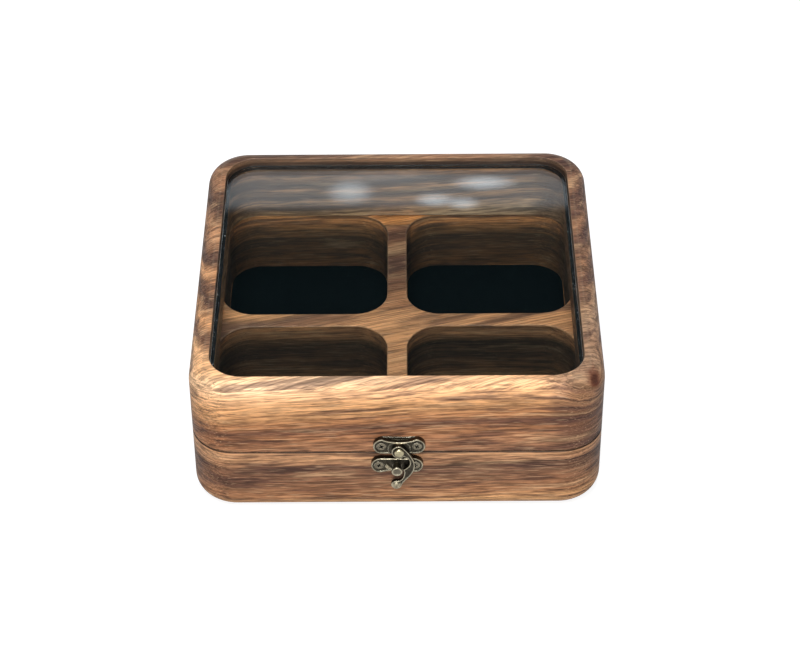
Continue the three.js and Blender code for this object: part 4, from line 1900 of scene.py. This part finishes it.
@dataclass
class Hinge:
    """One butt hinge: two leaves, their screws and the pin."""

    side: Side
    leaf_thickness: float = 1.2
    knuckle_radius: float = 2.4
    knuckle_gap: float = 0.3
    middle_knuckle: float = 8.4
    pin_radius: float = 1.2
    pin_clearance: float = 0.1
    leaf_corner: float = 1.6
    leaf_arris: float = 0.22
    knuckle_arris: float = 0.25
    pin_head_length: float = 0.8

    def __post_init__(self) -> None:
        """Reads the hinge's place."""
        name = self.side.name.lower()
        self.pin_node = f"hinge_{name}_pin"
        self.leaf_nodes = {body: f"hinge_{name}_{body}_leaf" for body in ("base", "lid")}
        self.axis = middle_mm(self.pin_node)

    def barrel(self, radius: float, low: float, high: float, arris: float) -> BMesh:
        """A round bar on the hinge's axis.

        Args:
            radius: of the bar.
            low: where it starts along X.
            high: where it ends.
            arris: the chamfer round each end.

        Returns:
            The solid.
        """
        profile = [
            (0, low), (radius - arris, low), (radius, low + arris),
            (radius, high - arris), (radius - arris, high), (0, high),
        ]
        turn = Matrix.Rotation(math.radians(90), 4, "Y")
        place = Matrix.Translation((0, self.axis.y, self.axis.z)) @ turn
        return moved(turned(profile, BARREL_STEPS), place)

    def leaf(self, body: str) -> BMesh:
        """Builds one leaf with its knuckles.

        Args:
            body: base or lid.

        Returns:
            The leaf.
        """
        low, high = box_mm(self.leaf_nodes[body])
        centre, up = self.axis.x, (1 if body == "lid" else -1)
        inner, outer = self.middle_knuckle / 2, (high.x - low.x) / 2
        if body == "lid":
            spans = [(-inner, inner)]
        else:
            spans = [(-outer, -inner - self.knuckle_gap), (inner + self.knuckle_gap, outer)]
        near = self.axis.z + up * (self.knuckle_radius + self.knuckle_gap)
        far = high.z if body == "lid" else low.z
        back = low.y + self.leaf_thickness
        solid = block(
            Vector((low.x, low.y, min(near, far))), Vector((high.x, back, max(near, far)))
        )
        corners = [
            e for e in solid.edges
            if abs(e.verts[0].co.y - e.verts[1].co.y) > WELD
            and all(abs(v.co.z - far) < WELD for v in e.verts)
        ]
        bmesh.ops.bevel(
            solid, geom=corners, offset=self.leaf_corner, offset_type="OFFSET", segments=6,
            profile=0.5, affect="EDGES", material=-1,
        )
        rim = [e for e in solid.edges if all(abs(v.co.y - back) < WELD for v in e.verts)]
        bmesh.ops.bevel(
            solid, geom=rim, offset=self.leaf_arris, offset_type="OFFSET", segments=2,
            profile=0.5, affect="EDGES", material=-1,
        )
        for start, end in spans:
            web = block(
                Vector((centre + start, low.y, min(self.axis.z, near + up))),
                Vector((centre + end, back, max(self.axis.z, near + up))),
            )
            solid = carve(solid, web, Cut.JOIN)
            knuckle = self.barrel(
                self.knuckle_radius, centre + start, centre + end, self.knuckle_arris
            )
            solid = carve(solid, knuckle, Cut.JOIN)
        bore = self.barrel(
            self.pin_radius + self.pin_clearance, centre - 2 * outer, centre + 2 * outer, 0.1
        )
        solid = carve(solid, bore, Cut.AWAY)
        for node in self.screw_nodes(body):
            solid = carve(solid, self.screw_hole(node, back), Cut.AWAY)
        return solid

    def screw_nodes(self, body: str) -> list[str]:
        """The names of one leaf's screws."""
        return [f"hinge_{self.side.name.lower()}_{body}_screw_{n}" for n in (1, 2)]

    def screw_place(self, node: str, back: float) -> Matrix:
        """Where a screw drawn upright goes: its head faces +Y.

        Args:
            node: the screw's frame node.
            back: where the leaf's outer face is along Y.

        Returns:
            The screw's place.
        """
        middle = middle_mm(node)
        turn = Matrix.Rotation(math.radians(-90), 4, "X")
        return Matrix.Translation((middle.x, back, middle.z)) @ turn

    def screw_hole(self, node: str, back: float) -> BMesh:
        """The countersink for one screw."""
        tool = countersink(HINGE_SCREW, Vector((0, 0)), 0, self.leaf_thickness + 1)
        return moved(tool, self.screw_place(node, back))

    def pin(self) -> BMesh:
        """Builds the pin with a domed head at each end.

        Returns:
            The closed solid.
        """
        low, high = box_mm(self.pin_node)
        head = (high.z - low.z) / 2
        end = [
            (0, 0), (head * 0.6, 0.05), (head - 0.1, 0.3), (head, 0.5),
            (head, self.pin_head_length), (self.pin_radius, self.pin_head_length),
        ]
        profile = [(radius, low.x + along) for radius, along in end]
        profile += [(radius, high.x - along) for radius, along in reversed(end)]
        turn = Matrix.Rotation(math.radians(90), 4, "Y")
        return moved(turned(profile), Matrix.Translation((0, self.axis.y, self.axis.z)) @ turn)

    def dress(self, bronze: bpy.types.Material) -> None:
        """Finishes the whole hinge in bronze.

        Args:
            bronze: the finish of every piece.
        """
        screw = HINGE_SCREW.build()
        for body, node in self.leaf_nodes.items():
            name = node.replace("leaf", "flap")
            finish_piece(self.leaf(body), Label(name, body, "antique_bronze", node), bronze)
            back = box_mm(node)[0].y + self.leaf_thickness
            for number, screw_node in enumerate(self.screw_nodes(body)):
                spin = Matrix.Rotation(0.3 + 0.8 * number, 4, "Z")
                solid = moved(screw.copy(), self.screw_place(screw_node, back) @ spin)
                name = screw_node.replace("screw", "cross_screw")
                label = Label(name, body, "antique_bronze", screw_node)
                finish_piece(solid, label, bronze)
        screw.free()
        name = f"hinge_{self.side.name.lower()}_axle"
        label = Label(name, "base", "antique_bronze", self.pin_node)
        finish_piece(self.pin(), label, bronze)


# ---- Studio --------------------------------------------------------------------------
@dataclass(frozen=True)
class Softbox:
    """One rectangular studio lamp aimed at the case."""

    name: str
    place: tuple[float, float, float]
    size: tuple[float, float]
    power: float
    aim: tuple[float, float, float] = (0.0, 0.0, 0.05)
    colour: tuple[float, float, float] = (1.0, 1.0, 1.0)

    def hang(self) -> None:
        """Hangs the lamp."""
        lamp = bpy.data.lights.new(self.name, "AREA")
        lamp.shape = "RECTANGLE"
        lamp.size, lamp.size_y = self.size
        lamp.energy = self.power
        lamp.color = self.colour
        holder = bpy.data.objects.new(self.name, lamp)
        holder.location = self.place
        toward = Vector(self.aim) - Vector(self.place)
        holder.rotation_mode = "QUATERNION"
        holder.rotation_quaternion = toward.to_track_quat("-Z", "Y")
        holder.visible_camera = False
        bpy.context.scene.collection.objects.link(holder)


@dataclass
class Studio:
    """A pale table, a bright screen behind it, soft lamps and the camera."""

    distance: float = 1.2621
    elevation: float = math.radians(38.953)
    azimuth: float = math.radians(0.1875)
    roll: float = -0.00765
    aim: tuple[float, float, float] = (0.00154, 0.0, 0.03775)
    lens: float = 104.9
    table_size: float = 12.0
    screen_distance: float = 1.6
    screen_width: float = 5.0
    screen_top: float = 1.205
    screen_glow: float = 0.82
    table_grey: float = 0.3  # how much of the lamps' light it throws back
    table_glow: float = 0.86
    table_mirrored: float = 0.5  # how much of that glow shows in glossy pieces
    windows: tuple[tuple[float, ...], ...] = (  # across, up, width, height (mm), brightness
        (-70, 1176, 26, 16, 2.6), (45, 1190, 22, 9, 3.2), (84, 1196, 18, 8, 3.0),
        (112, 1162, 34, 10, 3.4), (-20, 1150, 60, 12, 0.5),
    )
    lamps: tuple[Softbox, ...] = (
        Softbox("key softbox", (-0.12, -0.8, 1.35), (0.5, 0.7), 11.5),
        Softbox("front fill", (-0.1, -1.7, 0.5), (0.5, 0.5), 16.5),
        Softbox("top softbox", (0.0, 0.1, 1.7), (0.5, 0.9), 15.0),
    )

    def camera(self) -> None:
        """Stands the camera."""
        data = bpy.data.cameras.new("camera")
        data.lens = self.lens
        data.sensor_width = 36.0
        data.clip_start, data.clip_end = 0.05, 50.0
        camera = bpy.data.objects.new("camera", data)
        level = math.cos(self.elevation)
        away = Vector((
            math.sin(self.azimuth) * level, -math.cos(self.azimuth) * level,
            math.sin(self.elevation),
        ))
        camera.location = Vector(self.aim) + away * self.distance
        camera.rotation_mode = "QUATERNION"
        tilt = Quaternion((0, 0, 1), self.roll)
        camera.rotation_quaternion = (-away).to_track_quat("-Z", "Y") @ tilt
        bpy.context.scene.collection.objects.link(camera)
        bpy.context.scene.camera = camera

    def stage_piece(self, name: str, bm: BMesh, material: bpy.types.Material) -> None:
        """Adds a piece of the studio, which isn't part of the case.

        Args:
            name: the piece's name.
            bm: its mesh, which is used up.
            material: its finish.
        """
        mesh = bpy.data.meshes.new(name)
        bm.to_mesh(mesh)
        bm.free()
        mesh.materials.append(material)
        thing = bpy.data.objects.new(name, mesh)
        bpy.context.scene.collection.objects.link(thing)

    def table(self) -> None:
        """Lays the pale table, which stays white in view but throws little light back."""
        material, g = new_material("pale table")
        diffuse = g.node("BsdfDiffuse", {"Color": (*[self.table_grey] * 3, 1)})
        glow = g.node("Emission", {"Color": (1, 1, 1, 1), "Strength": self.table_glow})
        seen = g.node("AddShader", {0: diffuse.outputs[0], 1: glow.outputs[0]})
        path = g.node("LightPath").outputs
        mirrored = g.math("MULTIPLY", path["Is Glossy Ray"], self.table_mirrored)
        direct = g.math("MAXIMUM", path["Is Camera Ray"], mirrored)
        both = g.node("MixShader", {0: direct, 1: diffuse.outputs[0], 2: seen.outputs[0]})
        g.finish(both.outputs[0])
        bm = bmesh.new()
        bmesh.ops.create_grid(bm, x_segments=1, y_segments=1, size=self.table_size / 2)
        self.stage_piece("table", bm, material)

    def screen(self) -> None:
        """Hangs the screen that the pane mirrors, with soft window shapes at its top."""
        material, g = new_material("bright screen")
        place = g.where()
        height = g.split(place)[2]
        fade = g.spread(height, self.screen_top / MM - 12, self.screen_top / MM + 14, 1, 0)
        cloud = g.noise(g.place(place, (0.004, 0.004, 0.004)), 2.0, 0.5)
        level = g.spread(cloud, 0.3, 0.7, 0.75, 1.1)
        spots = self._spots(g, place)
        strength = g.math("ADD", g.math("MULTIPLY", fade, level), spots)
        strength = g.math("MULTIPLY", strength, self.screen_glow)
        glow = g.node("Emission", {"Color": (0.86, 0.93, 1.0, 1), "Strength": strength})
        clear = g.node("BsdfTransparent")
        mask = g.math("MINIMUM", g.math("ADD", fade, spots), 1.0)
        both = g.node("MixShader", {0: mask, 1: clear.outputs[0], 2: glow.outputs[0]})
        g.finish(both.outputs[0])
        bm = bmesh.new()
        half = self.screen_width / 2
        top = self.screen_top + 0.1
        place_at = Matrix.Translation((0, self.screen_distance, top / 2)) @ Matrix.Rotation(
            math.radians(90), 4, "X"
        ) @ Matrix.Diagonal((2 * half, top, 1, 1))
        bmesh.ops.create_grid(bm, x_segments=1, y_segments=1, size=0.5, matrix=place_at)
        self.stage_piece("screen", bm, material)

    def _spots(self, g: Graph, place: Socket) -> Socket:
        """Soft bright shapes on the screen.

        Args:
            g: the screen's graph.
            place: the place on it, in millimetres.

        Returns:
            How much light they add.
        """
        total = None
        for x, z, wide, tall, glow in self.windows:
            local = g.place(
                place, (1 / wide, 0, 1 / tall), shift=(-x / wide, 0, -z / tall)
            )
            far = g.node("VectorMath", {0: local}, operation="LENGTH").outputs["Value"]
            one = g.spread(far, 1.6, 0.2, 0, glow)
            total = one if total is None else g.math("ADD", total, one)
        return total

    def surroundings(self) -> None:
        """Makes the room white in view and nearly dark for lighting."""
        world = bpy.data.worlds.new("studio")
        world.use_nodes = True
        g = Graph(world.node_tree)
        seen = g.node("Background", {"Color": (1, 1, 1, 1), "Strength": 1.0})
        dim = g.node("Background", {"Color": (0.8, 0.9, 1.0, 1), "Strength": 0.03})
        veil = g.node("Background", {"Color": (0.45, 0.85, 1.0, 1), "Strength": 0.028})
        path = g.node("LightPath").outputs
        lit = g.node("MixShader", {
            0: path["Is Glossy Ray"], 1: dim.outputs[0], 2: veil.outputs[0],
        })
        both = g.node("MixShader", {
            0: path["Is Camera Ray"], 1: lit.outputs[0], 2: seen.outputs[0],
        })
        output = g.node("OutputWorld")
        g.tree.links.new(both.outputs[0], output.inputs["Surface"])
        bpy.context.scene.world = world

    def build(self) -> None:
        """Sets the whole studio up."""
        self.camera()
        self.table()
        self.screen()
        self.surroundings()
        for lamp in self.lamps:
            lamp.hang()
        view = bpy.context.scene.view_settings
        view.view_transform = "Standard"
        view.look = "None"


def main() -> None:
    """Builds the studio, then the case from the base up."""
    logging.basicConfig(level=logging.INFO, format="%(name)s: %(message)s")
    Studio().build()
    BaseBlock().dress(BASE_WALNUT.material())
    FeltPads().dress(Felt().material())
    LidFrame().dress(LID_WALNUT.material())
    Glazing().dress(ClearGlass().material(), GlazingTape().material())
    hinge_bronze = HINGE_BRONZE.material()
    for side in Side:
        Hinge(side).dress(hinge_bronze)
    latch = Latch()
    latch.dress(
        upper=replace(LATCH_BRONZE, blackened=latch.seat_depths()).material(),
        bronze=replace(LATCH_BRONZE, blackened=latch.dark_depths()).material(),
        peg=replace(PEG_BRONZE, blackened=latch.peg_depths()).material(),
        screws=replace(SCREW_BRONZE, blackened=latch.cross_depths()).material(),
        brass=RUBBED_BRASS.material(),
    )


if __name__ == "__main__":
    main()
